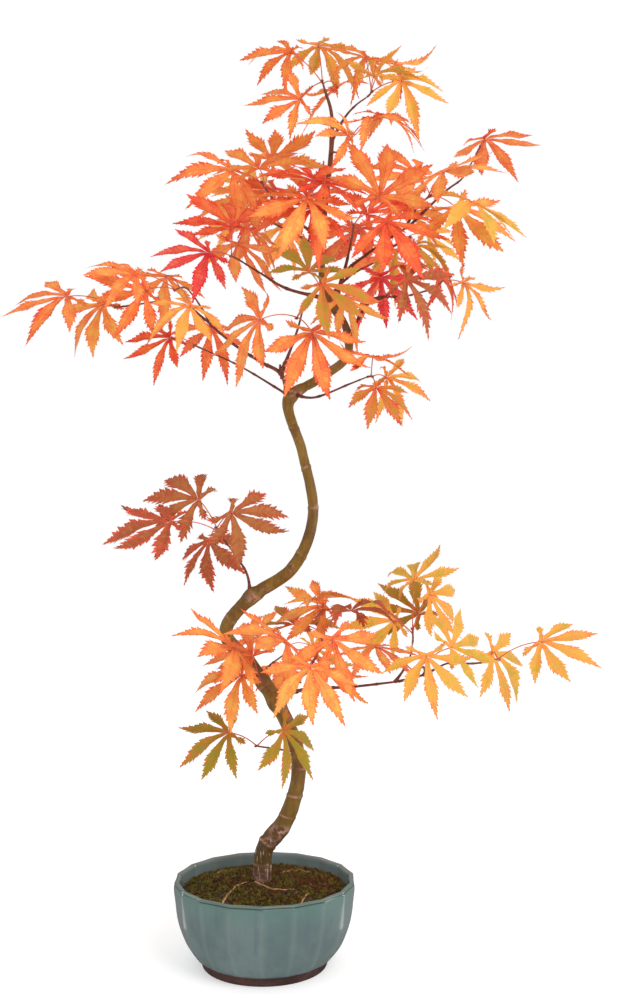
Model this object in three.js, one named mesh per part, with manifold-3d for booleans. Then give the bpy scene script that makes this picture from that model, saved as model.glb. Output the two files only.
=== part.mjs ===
// A small potted maple in autumn colour: millimetres, +Z up, origin in the middle of the pot's underside.
import * as THREE from 'three';
import { mergeVertices } from 'three/addons/utils/BufferGeometryUtils.js';
import Module from 'manifold-3d';

const wasm = await Module();
wasm.setup();

// ---------------------------------------------------------------- named sizes
const SEAM = 0.3; // clear gap where one piece meets another
const SMOOTHED = 0.02; // facets that stand out less than this are merged

// Pot: a round bowl with shallow upright panels on a low bare foot.
const POT = {
  panels: 18,
  panelDepth: 0.02, // how far a panel's middle lies in from its ridges, as a share of the radius
  height: 72,
  rimRadius: 77.5,
  lip: 5,
  footHeight: 6,
  footRadius: 53,
  floor: 11,
};
// Outside of the bowl above the foot: radius and height, from the foot to the rim.
const POT_WALL = [[57.5, 7], [64, 15], [70, 27], [74.5, 40], [77.2, 58]];
const WALL_THICKNESS = 5.5;

// Soil: mossy, a little mounded round the trunk.
const SOIL = { crown: 69.7, crownRadius: 13, shoulder: 67, shoulderRadius: 40, edge: 62 };

const TRUNK_SIDES = 8;
const TRUNK_STEPS_PER_BEND = 2;
const LIMB_SIDES = 5;
const LIMB_STEPS_PER_BEND = 2;
const STEM_SIDES = 4;
const STEM_STEPS = 3;
const STEM_RADIUS = [1.0, 0.8];
const STEM_PAST = 0.8; // how far the stem's bud end stands past the last stalks' feet
const STALK_SIDES = 3;
const STALK_STEPS = 2;
const STALK_RADII = [0.5, 0.8, 0.4, 0.3]; // in the stem, midway, where it enters the blade and inside that
const STALK_SINK = 0.06; // how far it runs on inside the blade, in leaf lengths

// Leaf: lobes as [angle from the middle lobe in degrees, length], in leaf lengths.
const LOBES = [[-122, 0.4], [-77, 0.78], [-38, 0.95], [0, 1], [38, 0.95], [77, 0.78], [122, 0.4]];
const LOBE = { wide: 0.48, halfWidth: 0.13, notch: 0.13, heel: 0.05 };
const LEAF_THICKNESS = 0.9;
const LEAF_SAG = 0.16; // how far a lobe's tip bends back, in leaf lengths

// How a leaf's stalk and blade vary round what its mass asks for: degrees and millimetres.
const VARY = { fan: 110, rise: 50, swing: 80, droop: 55, roll: 40, size: 0.1, stalkShort: 12, stalkMore: 36 };
const LIGHT = new THREE.Vector3(0.1, -0.8, 0.6).normalize(); // leaves turn a little to this side
const LIGHT_PULL = 0.9;
const STALK_ARCH = 0.18;
const PAIR_STEP = 0.25; // the next pair of leaves sits this share of the stem lower

// Space that a mass keeps to: a ball round its crest, less what other pieces already hold.
const REACH = 112;
const CLEAR = {
  otherLeaf: 7.5,
  ownLeaf: 6,
  otherStalk: 6,
  stalk: 3.5,
  ownStalk: 3,
  ownCross: 4,
  limb: 5.5,
  limbStalk: 2,
};

// Trunk: its bends from the soil to the tip, each [x, y, z, radius].
const TRUNK = [
  [-2.4, 0, 70, 8.2], [0.3, 0, 97, 7.3], [17, -2, 120.5, 7.3], [27.5, -4, 152, 6.2], [27, 0, 182, 6.1],
  [12, 6, 216, 6.2], [-13, 12, 252, 6], [-34, 12, 279, 5.8], [-13, 6, 309, 5.6], [24, -4, 336, 5.2],
  [41, -8, 380, 4.4], [32, -3, 433, 4.1], [20, 2, 476, 4.3], [45, 5, 496, 4], [69, 3, 514, 3.6],
  [69, -2, 539, 3.2], [50, -3, 573, 3], [50, 3, 628, 2.6], [56, 5, 685, 2.1], [57, 3, 720, 1.5],
  [51, 0, 742, 1.2],
];

// Boughs and twigs, each one tapering limb: the limb it leaves, how far along that it does (1 is the tip),
// the places it passes through to its own tip, and its radius at both ends.
const LIMBS = [
  { name: 'rust_twig', from: 'trunk', at: 0.254, way: [[25, -12, 238], [38, -14, 252], [47, -8, 268]],
    base: 2.0, tip: 1.2 },
  { name: 'right_low_bough', from: 'trunk', at: 0.258, way: [[35, 14, 230], [73, 26, 230], [115, 18, 236]],
    base: 2.4, tip: 1.6 },
  { name: 'right_low_end', from: 'right_low_bough', at: 1,
    way: [[136, 10, 243], [155, 0, 254], [170, -8, 255]], base: 1.5, tip: 1.1 },
  { name: 'right_low_twig', from: 'right_low_bough', at: 0.976,
    way: [[120, 26, 245], [126, 30, 256], [128, 30, 267]], base: 1.3, tip: 1.0 },
  { name: 'right_low_spur', from: 'right_low_end', at: 0.336, way: [[135, -8, 248], [133, -26, 254]],
    base: 1.2, tip: 1.0 },
  { name: 'left_mid_twig', from: 'trunk', at: 0.401, way: [[-15, 2, 329], [-24, -2, 345], [-34, -6, 359]],
    base: 1.6, tip: 1.1 },
  { name: 'left_long_bough', from: 'trunk', at: 0.603,
    way: [[14, 2, 500], [-4, 4, 511], [-28, 6, 527], [-51, 6, 547]], base: 2.6, tip: 1.6 },
  { name: 'left_long_end', from: 'left_long_bough', at: 1,
    way: [[-67, 2, 558], [-88, -4, 561], [-113, -8, 557]], base: 1.6, tip: 1.1 },
  { name: 'left_middle_twig', from: 'left_long_bough', at: 0.943, way: [[-55, -14, 558], [-62, -24, 567]],
    base: 1.2, tip: 1.0 },
  { name: 'left_thin_bough', from: 'trunk', at: 0.608, way: [[9, 16, 490], [-23, 28, 510], [-51, 28, 523]],
    base: 1.6, tip: 1.0 },
  { name: 'fork_front_twig', from: 'left_long_bough', at: 0.256,
    way: [[22, -8, 520], [28, -20, 535], [32, -30, 548]], base: 1.9, tip: 1.2 },
  { name: 'right_thin_twig', from: 'trunk', at: 0.613,
    way: [[43, -16, 479], [72, -20, 490], [85, -22, 495]], base: 1.5, tip: 1.0 },
  { name: 'crown_left_bough', from: 'trunk', at: 0.788, way: [[19, 14, 575], [-3, 10, 587], [-19, 4, 596]],
    base: 2.0, tip: 1.2 },
  { name: 'crown_upper_left_bough', from: 'trunk', at: 0.838,
    way: [[30, 18, 632], [13, 18, 644], [6, 10, 652]], base: 1.7, tip: 1.1 },
  { name: 'crown_right_bough', from: 'trunk', at: 0.773,
    way: [[67, 6, 585], [91, 12, 607], [125, 14, 630]], base: 2.4, tip: 1.5 },
  { name: 'crown_right_end', from: 'crown_right_bough', at: 1,
    way: [[154, 14, 658], [169, 10, 669], [177, 6, 682]], base: 1.5, tip: 1.0 },
  { name: 'crown_right_twig', from: 'crown_right_bough', at: 0.957, way: [[127, 2, 638], [132, -8, 643]],
    base: 1.2, tip: 1.0 },
  { name: 'crown_right_low_twig', from: 'crown_right_bough', at: 0.789,
    way: [[109, -8, 607], [113, -22, 608]], base: 1.2, tip: 1.0 },
  { name: 'crown_second_limb', from: 'crown_right_bough', at: 0.332, way: [[71, -6, 601], [73, -18, 610]],
    base: 1.6, tip: 1.1 },
  { name: 'right_lower_bough', from: 'trunk', at: 0.736,
    way: [[90, -16, 560], [117, -18, 563], [139, -16, 569]], base: 1.9, tip: 1.1 },
  { name: 'crimson_twig', from: 'right_lower_bough', at: 0.326, way: [[97, -30, 559], [103, -42, 561]],
    base: 1.1, tip: 0.95 },
  { name: 'top_right_shoot', from: 'trunk', at: 0.919, way: [[68, -4, 717], [77, -8, 726], [86, -10, 732]],
    base: 1.4, tip: 1.0 },
  { name: 'back_left_bough', from: 'trunk', at: 0.831, way: [[29, 50, 628], [9, 84, 645]], base: 1.9,
    tip: 1.2 },
  { name: 'back_right_bough', from: 'trunk', at: 0.789, way: [[74, 46, 592], [99, 84, 612]], base: 2.0,
    tip: 1.2 },
  { name: 'low_back_twig', from: 'trunk', at: 0.278, way: [[1, 48, 244], [13, 74, 251]], base: 1.9,
    tip: 1.2 },
];

// Masses of foliage: the limb the stem leaves, the crest that the stem rises to, the heading of the fan of
// leaves and the rise of their stalks in degrees, how the blades droop, the leaf length, and a seed a leaf.
const MASSES = [
  { name: 'low_left_spray', on: 'trunk', at: 0.195, crest: [-5, -36, 191], fan: 210, rise: 25, droop: 40,
    size: 50, tint: 'olive', seeds: [4328, 7708] },
  { name: 'orange_left', on: 'trunk', at: 0.266, crest: [-4, -40, 249], fan: 180, rise: 35, droop: 35,
    size: 54, tint: 'orange', seeds: [9680, 3945, 9051] },
  { name: 'orange_right', on: 'trunk', at: 0.256, crest: [30, -60, 247], fan: 330, rise: 35, droop: 45,
    size: 54, tint: 'orange', seeds: [9600, 565, 4446, 8346] },
  { name: 'rust_fan', on: 'rust_twig', at: 1, crest: [45, -2, 286], fan: 240, rise: 60, droop: 30,
    size: 50, tint: 'rust', seeds: [4405, 8266, 554, 9276] },
  { name: 'gold_upright', on: 'right_low_twig', at: 1, crest: [128, 30, 279], fan: 90, rise: 70, droop: 10,
    size: 46, tint: 'gold', seeds: [9596, 6109, 8891, 952] },
  { name: 'gold_middle', on: 'right_low_spur', at: 1, crest: [123, -44, 253], fan: 60, rise: 30, droop: 40,
    size: 50, tint: 'gold', seeds: [7426, 5392, 406] },
  { name: 'gold_end', on: 'right_low_end', at: 1, crest: [196, -12, 259], fan: 10, rise: 20, droop: 30,
    size: 56, tint: 'gold', seeds: [1325, 4394] },
  { name: 'rust_left', on: 'left_mid_twig', at: 1, crest: [-40, -12, 369], fan: 200, rise: 30, droop: 30,
    size: 54, tint: 'rust', seeds: [9900, 3582, 6060, 8868] },
  { name: 'left_end', on: 'left_long_end', at: 1, crest: [-124, -14, 555], fan: 190, rise: 10, droop: 30,
    size: 57, tint: 'orange', seeds: [1145, 4411] },
  { name: 'left_middle', on: 'left_middle_twig', at: 1, crest: [-72, -34, 566], fan: 190, rise: 10,
    droop: 30, size: 50, tint: 'orange', seeds: [2071, 8584, 2996, 887] },
  { name: 'left_lower', on: 'left_thin_bough', at: 1, crest: [-61, 24, 527], fan: 180, rise: 15, droop: 35,
    size: 48, tint: 'ember', seeds: [7284, 5238] },
  { name: 'fork_front', on: 'fork_front_twig', at: 1, crest: [28, -48, 541], fan: 250, rise: 5, droop: 55,
    size: 60, tint: 'orange', seeds: [3221, 9780] },
  { name: 'crown_low', on: 'trunk', at: 0.793, crest: [47, -30, 569], fan: 270, rise: 20, droop: 20,
    size: 46, tint: 'gold', seeds: [1329, 6723, 6660] },
  { name: 'right_small', on: 'right_thin_twig', at: 1, crest: [90, -28, 495], fan: 330, rise: 0, droop: 45,
    size: 44, tint: 'orange', seeds: [2596, 6789, 9599] },
  { name: 'crown_left', on: 'crown_left_bough', at: 1, crest: [-28, -6, 599], fan: 180, rise: 20,
    droop: 20, size: 54, tint: 'orange', seeds: [8996, 4345, 1394, 7403] },
  { name: 'crown_upper_left', on: 'crown_upper_left_bough', at: 1, crest: [-2, 0, 662], fan: 180, rise: 40,
    droop: 20, size: 54, tint: 'orange', seeds: [6168, 3991, 6916, 7606, 4583] },
  { name: 'crown_centre', on: 'trunk', at: 0.844, crest: [40, -44, 626], fan: 270, rise: 40, droop: 25,
    size: 54, tint: 'ember', seeds: [6473, 285, 8484, 3680] },
  { name: 'crown_right_centre', on: 'crown_second_limb', at: 1, crest: [74, -40, 617], fan: 60, rise: 35,
    droop: 10, size: 56, tint: 'ember', seeds: [5953, 4283, 5635, 429] },
  { name: 'crown_right', on: 'crown_right_twig', at: 1, crest: [139, -18, 647], fan: 20, rise: 20,
    droop: 30, size: 56, tint: 'orange', seeds: [5873, 3470, 2750, 5726] },
  { name: 'right_high', on: 'crown_right_end', at: 1, crest: [183, 2, 693], fan: 45, rise: 20, droop: 45,
    size: 52, tint: 'orange', seeds: [6143] },
  { name: 'crown_right_low', on: 'crown_right_low_twig', at: 1, crest: [120, -26, 610], fan: 0, rise: 0,
    droop: 50, size: 44, tint: 'gold', seeds: [4674, 1443] },
  { name: 'crimson_right', on: 'crimson_twig', at: 1, crest: [105, -50, 563], fan: 20, rise: 10, droop: 45,
    size: 48, tint: 'crimson', seeds: [141, 8175] },
  { name: 'right_tip', on: 'right_lower_bough', at: 1, crest: [149, -16, 576], fan: 10, rise: 5, droop: 45,
    size: 44, tint: 'ember', seeds: [6967, 5048] },
  { name: 'top_left', on: 'trunk', at: 1, crest: [49, -4, 747], fan: 170, rise: 35, droop: 25, size: 48,
    tint: 'rust', seeds: [3893, 8557, 8717, 5545] },
  { name: 'top_right', on: 'top_right_shoot', at: 1, crest: [90, -14, 735], fan: 50, rise: 40, droop: 25,
    size: 46, tint: 'gold', seeds: [429, 6842, 7505, 5965] },
  { name: 'top_middle', on: 'trunk', at: 0.906, crest: [65, -22, 682], fan: 330, rise: 50, droop: 30,
    size: 46, tint: 'orange', seeds: [1170, 4254, 7215] },
  { name: 'back_left', on: 'back_left_bough', at: 1, crest: [-7, 112, 661], fan: 110, rise: 20, droop: 30,
    size: 52, tint: 'orange', seeds: [3724, 5372, 9350, 2642] },
  { name: 'back_right', on: 'back_right_bough', at: 1, crest: [116, 112, 632], fan: 60, rise: 20,
    droop: 30, size: 52, tint: 'orange', seeds: [1325, 1817, 9753, 8980] },
  { name: 'low_back', on: 'low_back_twig', at: 1, crest: [18, 100, 257], fan: 90, rise: 20, droop: 30,
    size: 48, tint: 'orange', seeds: [2201, 8252, 3138] },
];

const FINISH = {
  bark: { color: 0x6f5f3c, roughness: 0.8, metalness: 0 },
  twig: { color: 0x6a3f30, roughness: 0.75, metalness: 0 },
  glaze: { color: 0x6f8280, roughness: 0.25, metalness: 0 },
  soil: { color: 0x3f3519, roughness: 0.95, metalness: 0 },
  orange: { color: 0xf58235, roughness: 0.6, metalness: 0 },
  ember: { color: 0xe9583a, roughness: 0.6, metalness: 0 },
  crimson: { color: 0xc42b36, roughness: 0.6, metalness: 0 },
  gold: { color: 0xe8a238, roughness: 0.6, metalness: 0 },
  olive: { color: 0x9f8a2c, roughness: 0.6, metalness: 0 },
  rust: { color: 0xb25a34, roughness: 0.6, metalness: 0 },
};

// ---------------------------------------------------------------- small tools
const RAD = Math.PI / 180;
const vec = (x, y, z) => new THREE.Vector3(x, y, z);
const group = new THREE.Group();

// A closed manifold-3d solid from a three.js geometry.
function solid(geometry) {
  geometry.deleteAttribute('normal');
  geometry.deleteAttribute('uv');
  const welded = mergeVertices(geometry, 1e-4);
  const corners = welded.index.array;
  const faces = [];
  for (let i = 0; i < corners.length; i += 3) {
    const [a, b, c] = [corners[i], corners[i + 1], corners[i + 2]];
    if (a !== b && b !== c && c !== a) faces.push(a, b, c);
  }
  return new wasm.Manifold(new wasm.Mesh({
    numProp: 3,
    vertProperties: new Float32Array(welded.attributes.position.array),
    triVerts: new Uint32Array(faces),
  }));
}

// The largest piece of a solid, without the scraps that a cut leaves.
function mainPiece(shape) {
  const pieces = shape.decompose();
  return pieces.reduce((best, piece) => (piece.volume() > best.volume() ? piece : best)).simplify(SMOOTHED);
}

function addNode(name, shape, finish) {
  const made = shape.getMesh();
  const geometry = new THREE.BufferGeometry();
  geometry.setAttribute('position', new THREE.BufferAttribute(new Float32Array(made.vertProperties), 3));
  geometry.setIndex(new THREE.BufferAttribute(new Uint32Array(made.triVerts), 1));
  geometry.computeVertexNormals();
  const mesh = new THREE.Mesh(geometry, new THREE.MeshStandardMaterial(finish));
  mesh.name = name;
  group.add(mesh);
}

// A tapering round limb through a row of points, one radius a point.
function tube(points, radii, sides) {
  const steps = points.length - 1;
  const geometry = new THREE.CylinderGeometry(1, 1, 1, sides, steps);
  const span = points[steps].clone().sub(points[0]);
  const across = Math.abs(span.y) < 0.75 * span.length() ? vec(0, 1, 0) : vec(1, 0, 0);
  const place = geometry.getAttribute('position');
  for (let i = 0; i < place.count; i++) {
    const step = Math.round((place.getY(i) + 0.5) * steps);
    const ahead = points[Math.min(step + 1, steps)].clone().sub(points[Math.max(step - 1, 0)]).normalize();
    const u = across.clone().cross(ahead).normalize();
    const v = u.clone().cross(ahead);
    const p = points[step].clone();
    p.addScaledVector(u, radii[step] * place.getX(i)).addScaledVector(v, radii[step] * place.getZ(i));
    place.setXYZ(i, p.x, p.y, p.z);
  }
  return geometry;
}

// ---------------------------------------------------------------- pot and soil
// Turns a closed profile of [radius, height] pairs and draws its wall in between the panels' ridges.
function turned(profile, drawIn, segments) {
  const geometry = new THREE.LatheGeometry(profile.map(([r, z]) => new THREE.Vector2(r, z)), segments);
  geometry.rotateX(Math.PI / 2);
  const place = geometry.getAttribute('position');
  for (let i = 0; i < place.count; i++) {
    const [x, y, z] = [place.getX(i), place.getY(i), place.getZ(i)];
    const halfPanels = Math.round((Math.atan2(x, -y) / Math.PI) * POT.panels);
    const share = halfPanels % 2 === 0 ? 1 : 1 - POT.panelDepth * drawIn(Math.hypot(x, y), z);
    place.setXYZ(i, x * share, y * share, z);
  }
  return solid(geometry);
}

const onWall = (r, z) => (z > POT.footHeight && r > POT.footRadius ? 1 : 0);
const inner = POT_WALL.filter((_, i) => i % 2 === 1).map(([r, z]) => [r - WALL_THICKNESS, z]);
const innerRim = POT.rimRadius - POT.lip;
const cavity = [[0, POT.floor], [innerRim - 24, POT.floor], ...inner, [innerRim, POT.height]];
const potProfile = [
  [0, 0],
  [POT.footRadius, 0],
  [POT.footRadius + 2, POT.footHeight],
  ...POT_WALL,
  [POT.rimRadius, POT.height],
  ...cavity.slice().reverse(),
];
addNode('pot', turned(potProfile, onWall, POT.panels * 2), FINISH.glaze);

// Radius of the cavity at a height, for the soil that fills it.
function cavityRadius(z) {
  const above = cavity.findIndex((row, i) => i > 1 && row[1] >= z);
  const [[r0, z0], [r1, z1]] = [cavity[above - 1], cavity[above]];
  return r0 + ((r1 - r0) * (z - z0)) / (z1 - z0);
}
const soilProfile = [[0, POT.floor + SEAM], [innerRim - 25, POT.floor + SEAM]];
for (const [, z] of inner) soilProfile.push([cavityRadius(z) - 3 * SEAM, z]);
soilProfile.push([cavityRadius(SOIL.edge) - 3 * SEAM, SOIL.edge]);
soilProfile.push([SOIL.shoulderRadius, SOIL.shoulder], [SOIL.crownRadius, SOIL.crown], [0, SOIL.crown]);
addNode('soil', turned(soilProfile, onWall, POT.panels), FINISH.soil);

// ---------------------------------------------------------------- trunk and limbs
function curveThrough(rows) {
  return new THREE.CatmullRomCurve3(rows.map(([x, y, z]) => vec(x, y, z)), false, 'catmullrom', 0.5);
}

const limbs = new Map();
const trunkRadius = (t) => {
  const place = t * (TRUNK.length - 1);
  const below = Math.min(Math.floor(place), TRUNK.length - 2);
  return TRUNK[below][3] + (TRUNK[below + 1][3] - TRUNK[below][3]) * (place - below);
};
limbs.set('trunk', { curve: curveThrough(TRUNK), radius: trunkRadius, rows: TRUNK });
for (const { name, from, at, way, base, tip } of LIMBS) {
  const start = limbs.get(from).curve.getPoint(at).toArray();
  const rows = [start, ...way];
  limbs.set(name, { curve: curveThrough(rows), radius: (t) => base + (tip - base) * t, rows, from, at });
}

// The direction in which a limb ends.
function heading(limb) {
  return limb.curve.getPoint(1).sub(limb.curve.getPoint(0.97)).normalize();
}

// A limb as a solid; grown by `skin` all round it is the room that its neighbours leave free.
function limbSolid(name, skin) {
  const limb = limbs.get(name);
  const isTrunk = name === 'trunk';
  const sides = isTrunk ? TRUNK_SIDES : LIMB_SIDES;
  const steps = (isTrunk ? TRUNK_STEPS_PER_BEND : LIMB_STEPS_PER_BEND) * (limb.rows.length - 1);
  const more = skin / Math.cos(Math.PI / sides);
  const points = [];
  const radii = [];
  for (let i = 0; i <= steps; i++) {
    points.push(limb.curve.getPoint(i / steps));
    radii.push(limb.radius(i / steps) + more);
  }
  points[steps].addScaledVector(heading(limb), skin);
  if (limb.at === 1) points[0].addScaledVector(heading(limbs.get(limb.from)), -1);
  const geometry = tube(points, radii, sides);
  if (isTrunk) flatFoot(geometry);
  return solid(geometry);
}

// Cuts the trunk's foot level where it stands on the soil.
function flatFoot(geometry) {
  const place = geometry.getAttribute('position');
  const foot = TRUNK[0][2];
  for (let i = 0; i < place.count; i++) {
    if (place.getZ(i) < foot + 3) place.setZ(i, foot);
  }
}

const rooms = [];
function cutClear(shape) {
  let left = shape;
  for (const room of rooms) {
    if (boxesMeet(left.boundingBox(), room.box)) left = left.subtract(room.shape);
  }
  return mainPiece(left);
}
function boxesMeet(a, b) {
  return [0, 1, 2].every((axis) => a.min[axis] <= b.max[axis] && b.min[axis] <= a.max[axis]);
}
function holdRoom(shape) {
  rooms.push({ shape, box: shape.boundingBox() });
}

for (const name of limbs.keys()) {
  addNode(name, cutClear(limbSolid(name, 0)), name === 'trunk' ? FINISH.bark : FINISH.twig);
  holdRoom(limbSolid(name, SEAM));
}

// ---------------------------------------------------------------- the rule of growth
const DRAW_MODULUS = 2147483647;
function drawsOf(seed, count) {
  let state = (seed * 9973 + 4241) % DRAW_MODULUS;
  const drawn = [];
  for (let i = 0; i < count + 3; i++) {
    state = (state * 48271) % DRAW_MODULUS;
    if (i >= 3) drawn.push(state / DRAW_MODULUS);
  }
  return drawn;
}

function bowed(from, control, to, t) {
  const p = from.clone().multiplyScalar((1 - t) ** 2);
  return p.addScaledVector(control, 2 * t * (1 - t)).addScaledVector(to, t * t);
}
function bowedRow(from, control, to, count) {
  return Array.from({ length: count }, (_, i) => bowed(from, control, to, i / (count - 1)));
}

const STEM_MARKS = 9;
const STALK_MARKS = 7;

// The stem of a mass, from its limb up to its crest: its foot, the point it bows by and its crest.
function stemOf(mass) {
  const limb = limbs.get(mass.on);
  const crest = vec(...mass.crest);
  const atTip = mass.at === 1;
  const foot = limb.curve.getPoint(mass.at);
  const ahead = atTip ? heading(limb) : crest.clone().sub(foot).normalize();
  if (atTip) foot.addScaledVector(ahead, SEAM);
  const control = foot.clone().addScaledVector(ahead, 0.45 * crest.distanceTo(foot));
  return { foot, control, crest, marks: bowedRow(foot, control, crest, STEM_MARKS) };
}

// One leaf: its stalk's foot on the stem, its stalk and the frame of its blade, all from its seed.
function leafPose(mass, stem, index) {
  const drawn = drawsOf(mass.seeds[index], 7);
  const vary = (i, range) => (drawn[i] * 2 - 1) * range;
  const place = (1 - PAIR_STEP * Math.floor(index / 2)) * (STEM_MARKS - 1);
  const mark = Math.min(Math.floor(place), STEM_MARKS - 2);
  const node = stem.marks[mark].clone().lerp(stem.marks[mark + 1], place - mark);
  const turn = (mass.fan + vary(0, VARY.fan)) * RAD;
  const rise = (mass.rise + vary(1, VARY.rise)) * RAD;
  const stalk = VARY.stalkShort + VARY.stalkMore * drawn[2];
  const blade = turn + vary(3, VARY.swing) * RAD;
  const droop = (mass.droop + vary(4, VARY.droop)) * RAD;
  const roll = vary(5, VARY.roll) * RAD;
  const size = mass.size * (1 - VARY.size + 2 * VARY.size * drawn[6]);
  const out = vec(Math.cos(rise) * Math.cos(turn), Math.cos(rise) * Math.sin(turn), Math.sin(rise));
  const hub = node.clone().addScaledVector(out, stalk);
  const along = vec(Math.cos(droop) * Math.cos(blade), Math.cos(droop) * Math.sin(blade), -Math.sin(droop));
  const face = vec(Math.sin(droop) * Math.cos(blade), Math.sin(droop) * Math.sin(blade), Math.cos(droop));
  face.addScaledVector(LIGHT, LIGHT_PULL);
  face.addScaledVector(along, -face.dot(along)).normalize();
  const aside = face.clone().cross(along);
  const up = face.clone().multiplyScalar(Math.cos(roll)).addScaledVector(aside, Math.sin(roll));
  const side = up.clone().cross(along);
  const control = node.clone().lerp(hub, 0.5).add(vec(0, 0, STALK_ARCH * stalk));
  return { node, hub, along, side, up, size, control, marks: bowedRow(node, control, hub, STALK_MARKS) };
}

// A place on the blade: u along the middle lobe and v across it, in leaf lengths, w mm above the blade.
function onBlade({ hub, along, side, up, size }, u, v, w) {
  const p = hub.clone().addScaledVector(along, u * size).addScaledVector(side, v * size);
  return p.addScaledVector(up, w - LEAF_SAG * (u * u + v * v) * size);
}

// Marks over a blade by which it keeps clear of its neighbours, [u, v] in leaf lengths.
function bladeMarks() {
  const marks = [[0, 0]];
  for (const [angle, length] of LOBES) {
    const [c, s] = [Math.cos(angle * RAD), Math.sin(angle * RAD)];
    const add = (u, v) => marks.push([u * c - v * s, u * s + v * c]);
    if (length < 0.5) {
      for (const share of [0.5, 1]) add(share * length, 0);
    } else {
      for (const share of [0.25, 0.5, 0.75, 1]) add(share * length, 0);
      for (const half of [LOBE.halfWidth, -LOBE.halfWidth]) add(LOBE.wide * length, half);
    }
  }
  return marks;
}
const MARKS = bladeMarks();

function nearest(row, others) {
  let best = Infinity;
  for (const p of row) {
    for (const q of others) best = Math.min(best, p.distanceToSquared(q));
  }
  return Math.sqrt(best);
}

const limbMarks = [];
for (const { curve, radius, rows } of limbs.values()) {
  let length = 0;
  for (let i = 1; i < rows.length; i++) length += vec(...rows[i]).distanceTo(vec(...rows[i - 1]));
  const last = Math.floor(length / 3) + 1;
  for (let i = 0; i <= last; i++) limbMarks.push({ p: curve.getPoint(i / last), r: radius(i / last) });
}
function clearOfLimbs(row, gap) {
  return row.every((p) => limbMarks.every(({ p: q, r }) => p.distanceTo(q) - r >= gap));
}

const heldBlades = [];
const heldStalks = [];

// Whether a leaf stays in its mass's own space and touches nothing that is there already.
function fits(mass, crest, blade, stalk) {
  if (blade.some((p) => p.distanceTo(crest) > REACH)) return false;
  for (const { owner, marks } of heldBlades) {
    const own = owner === mass.name;
    if (nearest(blade, marks) < (own ? CLEAR.ownLeaf : CLEAR.otherLeaf)) return false;
    if (nearest(stalk.slice(2), marks) < (own ? CLEAR.ownCross : CLEAR.otherStalk)) return false;
  }
  for (const { owner, marks } of heldStalks) {
    if (owner === mass.name) {
      if (nearest(blade.slice(1), marks) < CLEAR.ownStalk) return false;
    } else {
      if (nearest(blade, marks) < CLEAR.otherStalk) return false;
      if (nearest(stalk.slice(1), marks) < CLEAR.stalk) return false;
    }
  }
  return clearOfLimbs(blade, CLEAR.limb) && clearOfLimbs(stalk.slice(1), CLEAR.limbStalk);
}

// ---------------------------------------------------------------- masses of foliage
// Outline of a blade; a broad lobe has a shoulder on each side where its neighbour is broad too.
function bladeShape() {
  const shape = new THREE.Shape();
  const turnedPoint = (angle, u, v) => {
    const [c, s] = [Math.cos(angle * RAD), Math.sin(angle * RAD)];
    return [u * c - v * s, u * s + v * c];
  };
  const broad = (i) => i >= 0 && i < LOBES.length && LOBES[i][1] > 0.5;
  shape.moveTo(-LOBE.heel, 0);
  LOBES.forEach(([angle, length], i) => {
    if (broad(i) && broad(i - 1)) shape.lineTo(...turnedPoint(angle, LOBE.wide * length, -LOBE.halfWidth));
    shape.lineTo(...turnedPoint(angle, length, 0));
    if (broad(i) && broad(i + 1)) shape.lineTo(...turnedPoint(angle, LOBE.wide * length, LOBE.halfWidth));
    if (i < LOBES.length - 1) shape.lineTo(...turnedPoint((angle + LOBES[i + 1][0]) / 2, LOBE.notch, 0));
  });
  shape.closePath();
  return shape;
}
const BLADE = bladeShape();

function leafSolid(pose) {
  const geometry = new THREE.ExtrudeGeometry(BLADE, { depth: LEAF_THICKNESS, bevelEnabled: false });
  const place = geometry.getAttribute('position');
  for (let i = 0; i < place.count; i++) {
    const p = onBlade(pose, place.getX(i), place.getY(i), place.getZ(i) - LEAF_THICKNESS / 2);
    place.setXYZ(i, p.x, p.y, p.z);
  }
  return solid(geometry);
}

// The stalk, its foot sunk in the stem and its far end in the blade.
function stalkSolid(pose) {
  const points = bowedRow(pose.node, pose.control, pose.hub, STALK_STEPS + 1);
  points.push(onBlade(pose, STALK_SINK, 0, 0));
  return solid(tube(points, STALK_RADII, STALK_SIDES));
}

function stemSolid(mass, stem) {
  const points = bowedRow(stem.foot, stem.control, stem.crest, STEM_STEPS + 1);
  if (mass.at === 1) points[0].addScaledVector(heading(limbs.get(mass.on)), -1);
  const ahead = points[STEM_STEPS].clone().sub(points[STEM_STEPS - 1]).normalize();
  points[STEM_STEPS].addScaledVector(ahead, STEM_PAST);
  const radii = points.map((_, i) => STEM_RADIUS[0] + ((STEM_RADIUS[1] - STEM_RADIUS[0]) * i) / STEM_STEPS);
  return cutClear(solid(tube(points, radii, STEM_SIDES)));
}

const stems = new Map(MASSES.map((mass) => [mass.name, stemOf(mass)]));
for (const [owner, stem] of stems) heldStalks.push({ owner, marks: stem.marks.slice(1) });

for (const mass of MASSES) {
  const stem = stems.get(mass.name);
  const pieces = [stemSolid(mass, stem)];
  mass.seeds.forEach((_, index) => {
    const pose = leafPose(mass, stem, index);
    const blade = MARKS.map(([u, v]) => onBlade(pose, u, v, 0));
    if (!fits(mass, stem.crest, blade, pose.marks)) return;
    heldBlades.push({ owner: mass.name, marks: blade });
    heldStalks.push({ owner: mass.name, marks: pose.marks });
    pieces.push(leafSolid(pose), stalkSolid(pose));
  });
  addNode(mass.name, mainPiece(wasm.Manifold.union(pieces)), FINISH[mass.tint]);
}

export default group;
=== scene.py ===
"""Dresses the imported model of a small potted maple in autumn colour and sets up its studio."""
import math

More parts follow.
